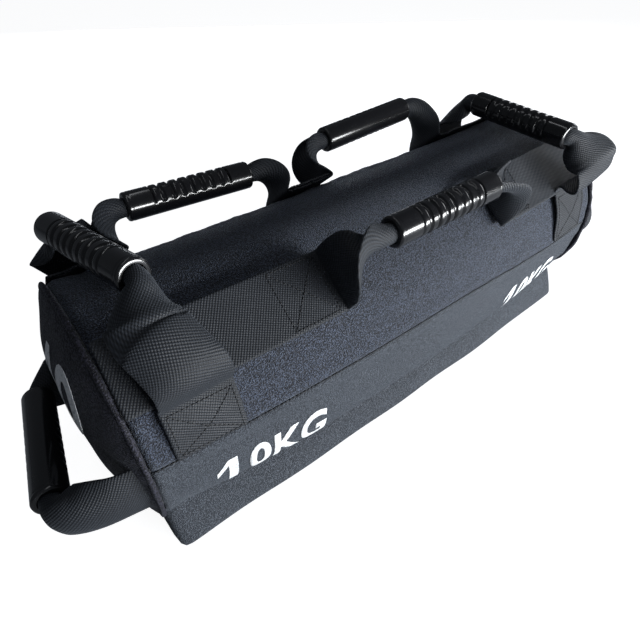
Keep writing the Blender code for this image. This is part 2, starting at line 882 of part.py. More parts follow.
def make_slider(coil_low, coil_high):
    """Two plates round the coils, joined by a post, with a lug for the pull tab."""
    end_x = zip_right_x
    middle_x = end_x - slider_length / 2
    under = coil_low - slider_clearance
    over = coil_high + slider_clearance
    plate = (slider_length, slider_width, slider_plate)
    low_centre = Vector((middle_x, slit_middle_y, under - slider_plate / 2))
    slider = make_box("zip_slider", low_centre, plate, "zip_metal", smooth=False)
    top_centre = Vector((middle_x, slit_middle_y, over + slider_plate / 2))
    top = make_box("slider_top", top_centre, plate, "zip_metal", smooth=False)
    post_size = (slider_post_length, slider_post_width, over - under + slider_plate)
    post_x = end_x - slider_post_length
    post_centre = Vector((post_x, slit_middle_y, (under + over) / 2))
    post = make_box("slider_post", post_centre, post_size, "zip_metal", smooth=False)
    lug_low = under - slider_plate - tab_lug_drop
    lug_size = (tab_lug_drop, tab_width / 3, tab_lug_drop + slider_plate / 2)
    lug_centre = Vector((end_x - tab_lug_drop, slit_middle_y, lug_low + lug_size[2] / 2))
    lug = make_box("slider_lug", lug_centre, lug_size, "zip_metal", smooth=False)
    union_into(slider, [top, post, lug])
    hinge_z = lug_low + tab_thickness / 2
    hinge_x = end_x + seat_gap
    half_thick = tab_thickness / 2
    outline = [(tab_length, -half_thick), (tab_length, half_thick)]
    for step in range(5):
        turn = math.radians(90 + 45 * step)
        outline.append((math.cos(turn) * half_thick, math.sin(turn) * half_thick))
    rings = []
    for y in (-tab_width / 2, tab_width / 2):
        rings.append([Vector((x, y, z)) for x, z in outline])
    tab = loft("pull_tab", rings, "zip_metal")
    tab.location = Vector((hinge_x, slit_middle_y, hinge_z))


def make_body():
    make_covers()
    make_lining()
    make_liner_and_filling()
    for name, side in (("left", -1), ("right", 1)):
        make_end_panel(f"{name}_end_panel", side)
        make_welt(f"{name}_end_welt", side)


def make_handles():
    mesh = grip_mesh()
    mesh.materials.append(materials["grip_plastic"])
    make_side_handles(mesh)
    make_cross_handle("left_cross_handle", mesh, -cross_handle_x, left_cross_shape)
    make_cross_handle("right_cross_handle", mesh, cross_handle_x, right_cross_shape)
    make_end_handle("left_end_handle", mesh, -1, left_end_shape)
    make_end_handle("right_end_handle", mesh, 1, right_end_shape)


def main():
    clear_scene()
    make_materials()
    make_body()
    make_flap()
    make_facing()
    make_zip()
    make_handles()
    bpy.context.view_layer.update()


main()
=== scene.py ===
import math
import bmesh
import bpy
import numpy as np
from mathutils import Matrix, Vector, noise
from mathutils.bvhtree import BVHTree


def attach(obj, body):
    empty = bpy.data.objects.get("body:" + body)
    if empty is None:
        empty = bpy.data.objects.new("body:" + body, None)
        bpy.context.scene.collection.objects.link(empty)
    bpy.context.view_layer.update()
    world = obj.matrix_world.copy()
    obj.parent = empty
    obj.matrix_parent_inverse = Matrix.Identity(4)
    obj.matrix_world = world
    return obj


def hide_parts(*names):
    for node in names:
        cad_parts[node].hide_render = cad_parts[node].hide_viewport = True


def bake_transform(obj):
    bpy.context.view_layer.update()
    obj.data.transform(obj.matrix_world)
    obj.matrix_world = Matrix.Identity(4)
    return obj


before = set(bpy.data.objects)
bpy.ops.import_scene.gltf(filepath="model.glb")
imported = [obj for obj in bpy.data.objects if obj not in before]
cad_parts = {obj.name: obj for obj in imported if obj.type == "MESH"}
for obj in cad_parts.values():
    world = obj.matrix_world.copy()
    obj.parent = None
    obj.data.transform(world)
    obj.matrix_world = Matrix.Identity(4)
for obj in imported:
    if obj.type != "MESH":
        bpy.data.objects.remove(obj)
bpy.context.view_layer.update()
scene = bpy.context.scene

# The bag's skin, in metres, as in the CAD source; angles in degrees from the top line, + to the front
bag = {"half": 0.250, "radius": 0.0895, "bulge": 0.019, "sag": 0.005, "drop": 0.008, "swell": 0.008,
       "endPower": 2.4, "middlePower": 4.4, "press": 0.0015, "stack": 0.006, "slitFront": -0.034,
       "slitBack": -0.018, "cover": 0.0018, "welt": 0.0026}
seams = {"front": 82.0, "dip": 2.0, "climb": 6.0, "climbFrom": 0.02, "climbOver": 0.2, "back": -90.0,
         "gap": 0.1}
puff = {"xs": None, "angles": None, "offsets": None}


def fullness(x):
    return max(0.0, 1.0 - (x / bag["half"]) ** 2)


def seamHeight(x):
    return bag["radius"] - bag["drop"] * fullness(x)


def frontSeam(x):
    climb = seams["climb"] * smooth((x - seams["climbFrom"]) / seams["climbOver"])
    return seams["front"] - seams["dip"] * fullness(x) + climb


def frontFloor(x):
    power = bag["endPower"] + (bag["middlePower"] - bag["endPower"]) * fullness(x)
    side = bag["radius"] + bag["swell"] * fullness(x)
    height = seamHeight(x)
    bend = (1.0 - (-bag["slitFront"] / side) ** power) ** (1.0 / power)
    return max(0.0, height - (height - bag["stack"]) / bend)


def plainSkin(x, angle, lift=0.0):
    full, height, turn = fullness(x), seamHeight(x), math.radians(angle)
    wide = bag["radius"] + bag["swell"] * full + lift
    if abs(angle) <= 90.0:
        tall, power = 2 * bag["radius"] - bag["sag"] * full - height + lift, 2.0
    else:
        under = frontFloor(x) - lift if angle > 0 else -lift - bag["press"]
        tall = height - under
        power = bag["endPower"] + (bag["middlePower"] - bag["endPower"]) * full
    across, upright = abs(math.sin(turn)) / wide, abs(math.cos(turn)) / tall
    reach = (across ** power + upright ** power) ** (-1.0 / power)
    point = Vector((x, -reach * math.sin(turn), height + reach * math.cos(turn)))
    if angle < -90.0:
        point.z = max(point.z, -lift)
    return point


def angleAt(x, y, under):
    return 180.0 - math.degrees(math.atan2(abs(y), seamHeight(x) - under))


def puffAt(x, angle):
    if puff["offsets"] is None:
        return 0.0
    xs, angles, table = puff["xs"], puff["angles"], puff["offsets"]
    i = min(max((x - xs[0]) / (xs[1] - xs[0]), 0.0), len(xs) - 1.001)
    j = (min(max(angle, angles[0]), angles[-1]) - angles[0]) / (angles[1] - angles[0])
    j = min(j, len(angles) - 1.001)
    a, b, u, v = int(i), int(j), i - int(i), j - int(j)
    low = table[a, b] * (1 - v) + table[a, b + 1] * v
    high = table[a + 1, b] * (1 - v) + table[a + 1, b + 1] * v
    return float(low * (1 - u) + high * u)


def skin(x, angle, lift=0.0):
    return plainSkin(x, angle, lift + puffAt(x, angle))


def away(point):
    return point - Vector((point.x, 0.0, seamHeight(point.x)))


def skinNormal(x, angle):
    along = plainSkin(x + 0.002, angle) - plainSkin(x - 0.002, angle)
    around = plainSkin(x, angle + 1.0) - plainSkin(x, angle - 1.0)
    normal = around.cross(along).normalized()
    return normal if normal.dot(away(plainSkin(x, angle))) > 0 else -normal


def smooth(t):
    t = min(max(t, 0.0), 1.0)
    return t * t * (3 - 2 * t)


def between(ends, share):
    return ends[0] + (ends[1] - ends[0]) * share


def ripple(t, count, bend, slow, size):
    return math.sin(t * count + bend * math.sin(t * slow)) * size


# Materials
def setInputs(made, values):
    for key, value in values.items():
        made.inputs[key].default_value = value


def newMaterial(name, color, rough, metallic=0.0, sheen=0.0, coat=0.0):
    material = bpy.data.materials.new(name)
    material.use_nodes = True
    tree = material.node_tree
    shader = tree.nodes["Principled BSDF"]
    setInputs(shader, {"Base Color": (*color, 1), "Roughness": rough, "Metallic": metallic,
                       "Sheen Weight": sheen, "Sheen Roughness": 0.45, "Sheen Tint": (0.80, 0.88, 1.0, 1),
                       "Coat Weight": coat, "Coat Roughness": 0.12})
    return material, tree, shader


def node(tree, kind, values=None, **settings):
    made = tree.nodes.new(kind)
    for key, value in settings.items():
        setattr(made, key, value)
    setInputs(made, values or {})
    return made


def mathNode(tree, operation, first, second=None, clamp=False):
    made = node(tree, "ShaderNodeMath", operation=operation, use_clamp=clamp)
    for index, value in enumerate((first, second)):
        if value is None:
            continue
        if hasattr(value, "is_output"):
            tree.links.new(value, made.inputs[index])
        else:
            made.inputs[index].default_value = value
    return made.outputs[0]


def weighted(tree, first, firstShare, second, secondShare, operation="ADD", clamp=False):
    firstPart = mathNode(tree, "MULTIPLY", first, firstShare)
    secondPart = mathNode(tree, "MULTIPLY", second, secondShare)
    return mathNode(tree, operation, firstPart, secondPart, clamp)


def texture(tree, kind, values, **settings):
    made = node(tree, kind, values, **settings)
    coords = node(tree, "ShaderNodeTexCoord").outputs["Object"]
    tree.links.new(coords, made.inputs["Vector"])
    return made


def noiseOf(tree, scale, detail, roughness=0.5):
    values = {"Scale": scale, "Detail": detail, "Roughness": roughness}
    return texture(tree, "ShaderNodeTexNoise", values).outputs["Fac"]


def mixColors(tree, shader, dark, light, share):
    mixed = node(tree, "ShaderNodeMix", {6: (*dark, 1), 7: (*light, 1)}, data_type="RGBA")
    tree.links.new(share, mixed.inputs["Factor"])
    tree.links.new(mixed.outputs[2], shader.inputs["Base Color"])


def ramp(tree, source, stops, target=None):
    made = node(tree, "ShaderNodeValToRGB")
    elements = made.color_ramp.elements
    while len(elements) < len(stops):
        elements.new(0.5)
    for element, (place, color) in zip(elements, stops):
        element.position = place
        element.color = (*color, 1) if hasattr(color, "__len__") else (color, color, color, 1)
    tree.links.new(source, made.inputs["Fac"])
    if target is not None:
        tree.links.new(made.outputs["Color"], target)
    return made.outputs["Color"]


def bumpChain(tree, shader, layers):
    last = None
    for height, strength, distance in layers:
        made = node(tree, "ShaderNodeBump", {"Strength": strength, "Distance": distance})
        tree.links.new(height, made.inputs["Height"])
        if last is not None:
            tree.links.new(last, made.inputs["Normal"])
        last = made.outputs["Normal"]
    tree.links.new(last, shader.inputs["Normal"])


fabricShine = 0.35


def grainAndGlintFabric(name, dark, light, pebble, sheen, rough, strength):
    material, tree, shader = newMaterial(name, light, rough, sheen=sheen)
    shader.inputs["Specular IOR Level"].default_value = fabricShine
    grain = {"Scale": 1 / pebble, "Smoothness": 0.25}
    cells = texture(tree, "ShaderNodeTexVoronoi", grain, feature="SMOOTH_F1")
    fine, broad = noiseOf(tree, 1.25 / pebble, 1.0), noiseOf(tree, 9.0, 3.0)
    height = weighted(tree, fine, 1.5, cells.outputs["Distance"], 0.6, "SUBTRACT")
    # colour follows the grain's height: partly the grain's own tone, partly painted glint on the pebble tops
    # and painted shade in the hollows
    spots = ramp(tree, height, [(0.40, 0.0), (0.62, 1.0)])
    mixColors(tree, shader, dark, light, weighted(tree, spots, 0.85, broad, 0.15, clamp=True))
    ramp(tree, height, [(0.1, rough + 0.16), (0.7, rough - 0.10)], shader.inputs["Roughness"])
    bumpChain(tree, shader, [(broad, 0.10, 0.003), (height, strength, 0.0009)])
    return material


def webbingMaterial(name, dark, light, period):
    material, tree, shader = newMaterial(name, light, 0.62, sheen=0.08)
    shader.inputs["Specular IOR Level"].default_value = fabricShine
    split = node(tree, "ShaderNodeSeparateXYZ")
    tree.links.new(node(tree, "ShaderNodeUVMap", uv_map="weave").outputs[0], split.inputs[0])
    turns = 2 * math.pi / period
    across, along = [mathNode(tree, "MULTIPLY", split.outputs[i], turns) for i in range(2)]
    first = mathNode(tree, "SINE", weighted(tree, across, 0.55, along, 0.85))
    second = mathNode(tree, "SINE", weighted(tree, across, 1.0, along, 0.50, "SUBTRACT"))
    weave = mathNode(tree, "ADD", weighted(tree, first, 0.30, second, 0.20), 0.5)
    fuzz, broad = noiseOf(tree, 900.0, 2.0), noiseOf(tree, 22.0, 3.0)
    mixColors(tree, shader, dark, light, weighted(tree, weave, 0.85, broad, 0.16, clamp=True))
    ramp(tree, broad, [(0.3, 0.70), (0.7, 0.52)], shader.inputs["Roughness"])
    bumpChain(tree, shader, [(broad, 0.15, 0.003), (fuzz, 0.2, 0.0003), (weave, 0.75, 0.0005)])
    return material


def noisyMaterial(name, color, shade, rough, scale, bump, distance, **extra):
    material, tree, shader = newMaterial(name, color, rough, **extra)
    fine, broad = noiseOf(tree, scale, 5.0, 0.6), noiseOf(tree, scale / 14, 2.0)
    ramp(tree, fine, [(0.3, shade), (0.7, color)], shader.inputs["Base Color"])
    ramp(tree, broad, [(0.3, min(1.0, rough * 1.25)), (0.7, rough * 0.8)], shader.inputs["Roughness"])
    bumpChain(tree, shader, [(fine, bump, distance)])
    return material


def inkMaterial(name, color, worn):
    material, tree, shader = newMaterial(name, (0.74, 0.76, 0.78), 0.5)
    cells = texture(tree, "ShaderNodeTexVoronoi", {"Scale": 620.0}).outputs["Distance"]
    wear = mathNode(tree, "MULTIPLY", noiseOf(tree, 900.0, 4.0, 0.7), cells)
    ramp(tree, wear, [(0.28, color), (0.52, worn)], shader.inputs["Base Color"])
    bumpChain(tree, shader, [(wear, 0.5, 0.0006)])
    return material


# Grained fabric: dark and light colour, pebble size, sheen, roughness, bump; the colour follows the grain's
# height, with painted glint on the pebble tops and painted shade in the hollows
# Other finishes: two colours, roughness, scale of the grain, bump and its depth
mats = {
    "body": grainAndGlintFabric("bodyFabric", (0.001, 0.0015, 0.004), (0.056, 0.071, 0.108), 0.0011, 0.16, 0.60, 1.0),
    # painted light: a lighter copy of the body fabric for the lower front panel and its fall, standing in for
    # the low front light on them
    "lower": grainAndGlintFabric("lowerFabricLitCopy", (0.010, 0.013, 0.019), (0.064, 0.075, 0.094),
                         0.0011, 0.14, 0.62, 0.9),
    # partly the end panels' own darker matte fabric, partly painted shade: darkened to the end that faces
    # away from the light; also on the welts
    "panel": grainAndGlintFabric("panelFabricShaded", (0.002, 0.002, 0.004), (0.028, 0.028, 0.046),
                         0.0014, 0.06, 0.66, 0.8),
    # painted light: the flap fabric, also on its hems and the facing, is lighter than the body fabric to lift
    # the shade it lies in beneath the bag
    "flap": grainAndGlintFabric("flapFabricLightened", (0.003, 0.004, 0.008), (0.060, 0.072, 0.100), 0.0014, 0.16, 0.62, 0.9),
    "webbing": webbingMaterial("webbingFabric", (0.0006, 0.0008, 0.0015), (0.023, 0.028, 0.037), 0.0018),
    "grip": noisyMaterial("gripPlastic", (0.0075, 0.0078, 0.009), (0.006, 0.006, 0.007),
                          0.20, 420.0, 0.05, 0.0004, coat=0.4),
    "thread": noisyMaterial("threadFabric", (0.012, 0.013, 0.016), (0.005, 0.005, 0.006),
                            0.65, 1500.0, 0.4, 0.0003, sheen=0.1),
    "hook": noisyMaterial("hookFabric", (0.020, 0.020, 0.022), (0.006, 0.006, 0.006),
                          0.9, 1400.0, 1.0, 0.0010, sheen=0.3),
    "foam": noisyMaterial("foamSheet", (0.20, 0.205, 0.215), (0.13, 0.135, 0.14), 0.9, 700.0, 0.6, 0.0008),
    "liner": noisyMaterial("linerSheet", (0.42, 0.40, 0.35), (0.36, 0.34, 0.30),
                           0.5, 60.0, 0.4, 0.0030, sheen=0.1),
    "filling": noisyMaterial("fillingSand", (0.48, 0.40, 0.28), (0.26, 0.20, 0.13),
                             0.95, 1600.0, 1.0, 0.0012),
    "coil": noisyMaterial("coilPlastic", (0.016, 0.016, 0.017), (0.008, 0.008, 0.008),
                          0.4, 1200.0, 0.3, 0.0003),
    "metal": noisyMaterial("metalPlate", (0.18, 0.18, 0.185), (0.12, 0.12, 0.125),
                           0.34, 900.0, 0.2, 0.0002, metallic=1.0),
    "ink": inkMaterial("ink", (0.78, 0.80, 0.82), (0.34, 0.36, 0.40)),
}
print("materials done")


# Making and finishing pieces
def emit(name, bm, material, body=None, replaced=(), shade=True, weld=True):
    if weld:
        bmesh.ops.remove_doubles(bm, verts=bm.verts, dist=0.00001)
        bmesh.ops.recalc_face_normals(bm, faces=bm.faces)
    mesh = bpy.data.meshes.new(name)
    bm.to_mesh(mesh)
    bm.free()
    mesh.materials.append(mats[material])
    if shade:
        mesh.shade_smooth()
    piece = bpy.data.objects.new(name, mesh)
    scene.collection.objects.link(piece)
    if body:
        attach(piece, body)
    if replaced:
        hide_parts(*replaced)
    return piece


def gridOf(columns, rows, place, uvOf=None):
    bm = bmesh.new()
    bmesh.ops.create_grid(bm, x_segments=columns, y_segments=rows, size=1.0)
    layer = bm.loops.layers.uv.new("weave") if uvOf else None
    spots = {vert: ((vert.co.x + 1) / 2, (vert.co.y + 1) / 2) for vert in bm.verts}
    if layer:
        for face in bm.faces:
            for loop in face.loops:
                loop[layer].uv = uvOf(*spots[loop.vert])
    for vert, (u, v) in spots.items():
        vert.co = place(u, v)
    return bm


def thicken(bm, thickness, outward):
    bmesh.ops.recalc_face_normals(bm, faces=bm.faces)
    face = next(iter(bm.faces))
    if face.normal.dot(outward(face.calc_center_median())) < 0:
        bmesh.ops.reverse_faces(bm, faces=bm.faces)
    bmesh.ops.solidify(bm, geom=list(bm.faces), thickness=thickness)


# The cover's form: a cloth sleeve, held at its seams and sewn boxes, that draws in between them
sleeve = {"columns": 84, "rows": 120, "inset": 0.0016, "cap": 0.0034, "frames": 20, "plain": -0.0002,
          "seamHeld": 1.6, "underHeld": 128.0}
sleeveCloth = {"quality": 5, "mass": 0.4, "tension_stiffness": 12, "compression_stiffness": 12,
               "bending_stiffness": 0.4, "vertex_group_mass": "held", "use_pressure": True,
               "uniform_pressure_force": 4.0, "shrink_min": -0.012}
boxes = [(-0.231, -0.183, 57, 79), (0.180, 0.228, 55, 84),
         (-0.231, -0.183, -85, -57), (0.183, 0.231, -85, -57)]


def pinned(x, angle):
    seam = min(abs(angle - frontSeam(x)), abs(angle - seams["back"]))
    if seam < sleeve["seamHeld"] or abs(angle) > sleeve["underHeld"]:
        return 1.0
    if any(a - 0.003 < x < b + 0.003 and c - 2 < angle < d + 3 for a, b, c, d in boxes):
        return 0.9
    if 24 < angle < 56 and (x < -0.085 or x > 0.093) or -60 < angle < -28:
        return 0.35
    return 0.0


def simulatePuff():
    bm = bmesh.new()
    rows, columns = sleeve["rows"], sleeve["columns"]
    bmesh.ops.create_cone(bm, cap_ends=True, segments=rows, radius1=1.0, radius2=1.0, depth=2.0)
    sides = [e for e in bm.edges if abs(e.verts[0].co.z - e.verts[1].co.z) > 1.0]
    bmesh.ops.subdivide_edges(bm, edges=sides, cuts=columns - 1, use_grid_fill=True)
    spots = []
    for vert in bm.verts:
        x = vert.co.z * bag["half"]
        angle = math.degrees(math.atan2(-vert.co.y, vert.co.x))
        angle = -180.0 if angle > 179.9 else angle
        vert.co = plainSkin(x, angle, -sleeve["inset"])
        spots.append((x, angle))
    bmesh.ops.recalc_face_normals(bm, faces=bm.faces)
    cloth = emit("coverCloth", bm, "body", shade=False, weld=False)
    group = cloth.vertex_groups.new(name="held")
    for index, (x, angle) in enumerate(spots):
        hold = 1.0 if abs(x) > bag["half"] - 0.004 else pinned(x, angle)
        if hold:
            group.add([index], hold, "REPLACE")
    start = np.array([v.co for v in cloth.data.vertices])
    modifier = cloth.modifiers.new("puff", "CLOTH")
    for key, value in sleeveCloth.items():
        setattr(modifier.settings, key, value)
    modifier.settings.effector_weights.gravity = 0
    modifier.collision_settings.use_collision = False
    for step in range(1, sleeve["frames"] + 1):
        scene.frame_set(step)
    graph = bpy.context.evaluated_depsgraph_get()
    result = cloth.evaluated_get(graph).to_mesh()
    moved = np.array([v.co for v in result.vertices]) - start
    scene.frame_set(1)
    xs = np.linspace(-bag["half"], bag["half"], columns + 1)
    angles = np.linspace(-180.0, 180.0, rows + 1)
    table = np.zeros((columns + 1, rows + 1))
    for (x, angle), shift, begin in zip(spots, moved, start):
        out = np.array(away(Vector(begin)))
        grown = float(shift @ out / max(1e-6, np.linalg.norm(out)))
        grown = max(-sleeve["cap"], min(sleeve["cap"], grown)) - sleeve["inset"]
        table[int(np.argmin(abs(xs - x))), int(np.argmin(abs(angles - angle)))] = grown
    table[:, -1] = table[:, 0]
    bpy.data.objects.remove(cloth, do_unlink=True)
    return xs, angles, table


# Waves on the sleeve: their heights, how far they reach, and how deep the cover may lie
waves = {"broad": 0.0016, "small": 0.0006, "pucker": 0.00035, "puckerLength": 0.021, "ripple": 0.0005,
         "fade": 0.035, "nearSeam": 7.0, "nearEnd": 0.012, "atSeam": -0.0008, "offSeam": 0.0022,
         "lowest": -0.0030}


def soften(xs, angles, table):
    for i, x in enumerate(xs):
        edge = smooth((bag["half"] - abs(x)) / waves["fade"])
        turns = 2 * math.pi / waves["puckerLength"]
        for j, angle in enumerate(angles):
            broad = noise.noise(Vector((x * 9.0, angle * 0.028, 3.1))) * waves["broad"]
            small = noise.noise(Vector((x * 30.0, angle * 0.075, 8.2))) * waves["small"]
            pucker = ripple(x, turns, 2.2, 37, waves["pucker"])
            seam = abs(angle - frontSeam(x)) if angle > 0 else abs(angle - seams["back"])
            near = math.exp(-(seam / waves["nearSeam"]) ** 2)
            ends = math.exp(-((bag["half"] - abs(x)) / waves["nearEnd"]) ** 2)
            around = ripple(math.radians(angle), 17, 2, 3, waves["ripple"])
            table[i, j] += (broad + small) * edge + pucker * near * edge + around * ends
            table[i, j] = max(table[i, j], waves["atSeam"] - waves["offSeam"] * smooth((seam - 3.0) / 6.0))
            if abs(angle) > 120.0:
                table[i, j] *= smooth((180.0 - abs(angle)) / 60.0)
    return np.clip(table, waves["lowest"], sleeve["cap"])


puff["xs"], puff["angles"], found = simulatePuff()
puff["offsets"] = soften(puff["xs"], puff["angles"], found)
print("cover form done", round(float(puff["offsets"].min()), 4), round(float(puff["offsets"].max()), 4))

# Cover panels: upper, lower front and lower back, their edges turned in at the seams
def upperSpan(x):
    return seams["back"] + seams["gap"], frontSeam(x) - seams["gap"]


def frontSpan(x):
    return frontSeam(x) + seams["gap"], angleAt(x, bag["slitFront"], bag["stack"])


def backSpan(x):
    return -360.0 + angleAt(x, bag["slitBack"], -bag["press"]), seams["back"] - seams["gap"]


covers = {
    "upperCoverSkin": {"spans": upperSpan, "rows": 120, "node": "upper_cover"},
    "lowerFrontSkin": {"spans": frontSpan, "rows": 48, "node": "lower_front_cover", "material": "lower"},
    "lowerBackSkin": {"spans": backSpan, "rows": 64, "node": "lower_back_cover"},
}
coverEdge = {"inset": 0.0022, "over": 0.8, "turnIn": 0.0008, "endOver": 0.004, "endIn": 0.0010}


def makeCover(name, facts):
    reach = bag["half"] - coverEdge["inset"]
    over, endOver = coverEdge["over"], coverEdge["endOver"]

    def place(u, v):
        x = -reach + 2 * reach * u
        low, high = facts["spans"](x)
        angle = between((low, high), v)
        turn = 0.0
        if (abs(low) < 91 and angle - low < over) or (abs(high) < 91 and high - angle < over):
            turn = coverEdge["turnIn"] * (1 - min(abs(angle - low), abs(high - angle)) / over)
        if abs(x) > reach - endOver:
            turn += coverEdge["endIn"] * (abs(x) - reach + endOver) / endOver
        point = plainSkin(x, angle) if angle < -180.0 else skin(x, angle, -turn)
        point.z = max(point.z, 0.00005)
        return point

    bm = gridOf(120, facts["rows"], place)
    thicken(bm, bag["cover"], away)
    piece = emit(name, bm, facts.get("material", "body"), "bag", [facts["node"]])


for coverName, coverFacts in covers.items():
    makeCover(coverName, coverFacts)
print("covers done")


# End panels and welts
dome = {"power": 2.6, "ripple": 0.0007, "nearRim": 0.10, "dent": 0.0018, "edge": 0.0004}


def rimPoint(angle, lift):
    return plainSkin(bag["half"], angle if angle <= 180 else angle - 360, lift)


def domeDepth(side, y, z, share, angle):
    bulge = bag["bulge"] * (1.0 - share ** dome["power"])
    near = math.exp(-((1 - share) / dome["nearRim"]) ** 2)
    rim = ripple(math.radians(angle), 23, 3, 4, dome["ripple"]) * near
    dent = noise.noise(Vector((y * 28, z * 28, side * 4.0))) * dome["dent"] * smooth((1 - share) / 0.3)
    return bulge + rim + dent - dome["edge"] * smooth((share - 0.92) / 0.08)


def onDome(side, y, z, lift):
    angle = math.degrees(math.atan2(-y, z - seamHeight(bag["half"])))
    share = math.hypot(y, z - seamHeight(bag["half"])) / bag["radius"]
    return Vector((side * (bag["half"] + 0.0018 + lift + domeDepth(side, y, z, share, angle)), y, z))


def makeEnd(side, label):
    rimX = bag["half"] + 0.0018
    middle = Vector((0, 0, seamHeight(bag["half"])))
    turns, rings = 96, 26

    def place(u, v):
        angle = -180.0 + 360.0 * u
        share = 1.0 - v
        rim = rimPoint(angle, -0.0006)
        point = middle + (Vector((0, rim.y, rim.z)) - middle) * share
        point.x = side * (rimX + domeDepth(side, point.y, point.z, share, angle))
        return point

    bm = gridOf(turns, rings, place)
    bmesh.ops.remove_doubles(bm, verts=bm.verts, dist=0.00001)
    thicken(bm, bag["cover"], lambda p: Vector((side, 0, 0)))
    piece = emit(label + "EndSkin", bm, "panel", "bag", [label + "_end_panel"])
    bm = bmesh.new()
    bmesh.ops.create_circle(bm, segments=10, radius=1.0)
    bmesh.ops.spin(bm, geom=list(bm.verts) + list(bm.edges), axis=(0, 1, 0), cent=(3, 0, 0), steps=120,
                   angle=2 * math.pi, use_merge=True)
    for vert in bm.verts:
        around = math.atan2(vert.co.z, vert.co.x - 3)
        ring = math.hypot(vert.co.z, vert.co.x - 3) - 3.0
        angle = math.degrees(around)
        rim = rimPoint(angle, 0.0)
        out = (Vector((0, rim.y, rim.z)) - middle).normalized()
        wave = ripple(around, 31, 2.5, 5, 0.0004)
        size = bag["welt"] * (0.86 + 0.10 * math.sin(around * 13 + side))
        core = middle + out * ((Vector((0, rim.y, rim.z)) - middle).length - 0.0006 + wave)
        core += out * (ring * size)
        core.z = max(core.z, 0.00005)
        vert.co = Vector((side * (bag["half"] + 0.0004 - vert.co.y * size * 0.85), core.y, core.z))
    emit(label + "WeltRidge", bm, "panel", "bag", [label + "_end_welt"])


for endSide, endLabel in ((-1, "left"), (1, "right")):
    makeEnd(endSide, endLabel)
print("ends done")

# Webbing: a strip whose section curls from flat to a nearly closed tube inside a grip
strip = {"width": 0.050, "thickness": 0.0021, "columns": 20, "tube": 0.0063, "tubeTurn": 338, "seat": 0.0017,
         "halfGrip": 0.055, "probe": 0.0008, "flatBelow": 0.02}
tubeCurl = math.radians(strip["tubeTurn"])
tubeWidth = strip["tube"] * tubeCurl


def lengthsOf(points):
    lengths = [0.0]
    for a, b in zip(points, points[1:]):
        lengths.append(lengths[-1] + (b - a).length)
    return lengths


def stationsToStrip(stations):
    lengths = lengthsOf([s["at"] for s in stations])
    total = lengths[-1]

    def spline(key, t):
        k = max(i for i in range(len(lengths)) if lengths[i] <= t + 1e-9)
        k = min(k, len(stations) - 2)
        span = lengths[k + 1] - lengths[k]
        s = (t - lengths[k]) / span
        p1, p2 = stations[k][key], stations[k + 1][key]
        m1 = m2 = (p2 - p1)
        if k > 0:
            m1 = (p2 - stations[k - 1][key]) * (span / (lengths[k + 1] - lengths[k - 1]))
        if k < len(stations) - 2:
            m2 = (stations[k + 2][key] - p1) * (span / (lengths[k + 2] - lengths[k]))
        s2, s3 = s * s, s * s * s
        return p1 * (2 * s3 - 3 * s2 + 1) + m1 * (s3 - 2 * s2 + s) + p2 * (-2 * s3 + 3 * s2) + m2 * (s3 - s2)

    def section(u, v):
        t = total * v
        centre = spline("at", t)
        ahead = spline("at", min(total, t + strip["probe"])) - spline("at", max(0.0, t - strip["probe"]))
        heading = ahead.normalized()
        normal = spline("up", t)
        normal = (normal - heading * normal.dot(heading)).normalized()
        side = heading.cross(normal)
        curl = spline("curl", t)
        width = spline("width", t)
        a = (u - 0.5) * width
        if abs(curl) < strip["flatBelow"]:
            return centre + side * a
        radius = width / abs(curl)
        turn = a / radius
        rise = math.copysign(radius * (1 - math.cos(turn)), curl)
        return centre + side * radius * math.sin(turn) + normal * rise

    return section, total


def makeWebbing(name, stations, rows):
    section, total = stationsToStrip(stations)
    bm = gridOf(strip["columns"], rows, section, lambda u, v: ((u - 0.5) * strip["width"], v * total))
    bmesh.ops.recalc_face_normals(bm, faces=bm.faces)
    piece = emit(name, bm, "webbing", weld=False)
    solid = piece.modifiers.new("thick", "SOLIDIFY")
    solid.thickness = strip["thickness"]
    solid.offset = 0.0
    soft = piece.modifiers.new("soft", "SUBSURF")
    soft.levels = soft.render_levels = 1
    graph = bpy.context.evaluated_depsgraph_get()
    made = bpy.data.meshes.new_from_object(piece.evaluated_get(graph))
    piece.modifiers.clear()
    piece.data = made
    made.name = name
    return piece, total


def at(point, up, curl=0.0, width=strip["width"]):
    return {"at": Vector(point), "up": Vector(up).normalized(), "curl": curl, "width": width}


def onSkin(x, angle, lift=strip["seat"]):
    return at(skin(x, angle, lift), skinNormal(x, angle))


def bezier(points, t):
    a, b, c, d = points
    return a * (1 - t) ** 3 + b * 3 * t * (1 - t) ** 2 + c * 3 * t * t * (1 - t) + d * t ** 3


def sided(pair, sign):
    return pair[0 if sign < 0 else 1]


def rolledWidth(share):
    return between((strip["width"], tubeWidth), smooth(share))


def gripFrame(handle):
    axis = Vector(handle["axis"]).normalized()
    up = Vector(handle["grip"]) - Vector(handle["hinge"])
    return axis, (up - axis * up.dot(axis)).normalized()


def gripStations(handle, sign, flip):
    axis, up = gripFrame(handle)
    up = Matrix.Rotation(math.radians(sided(handle.get("twist", (0, 0)), sign)), 3, axis) @ up
    made = []
    for share in (0.96, 0.5):
        spot = Vector(handle["grip"]) + axis * sign * strip["halfGrip"] * share - up * flip * strip["tube"]
        made.append(at(spot, up, flip * tubeCurl, tubeWidth))
    return made, axis, up


def makeHandle(label, handle, half, rows, out):
    stations = half(handle, -1) + half(handle, 1)[::-1]
    piece, total = makeWebbing(label.replace("_", "") + "Webbing", stations, rows)
    roots = handle.get("bands", (f"{label}_handle_front_root", f"{label}_handle_back_root"))
    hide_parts(*roots, f"{label}_handle_strap")
    hinge, up = Vector(handle["hinge"]), Vector(out).normalized()
    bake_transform(piece)


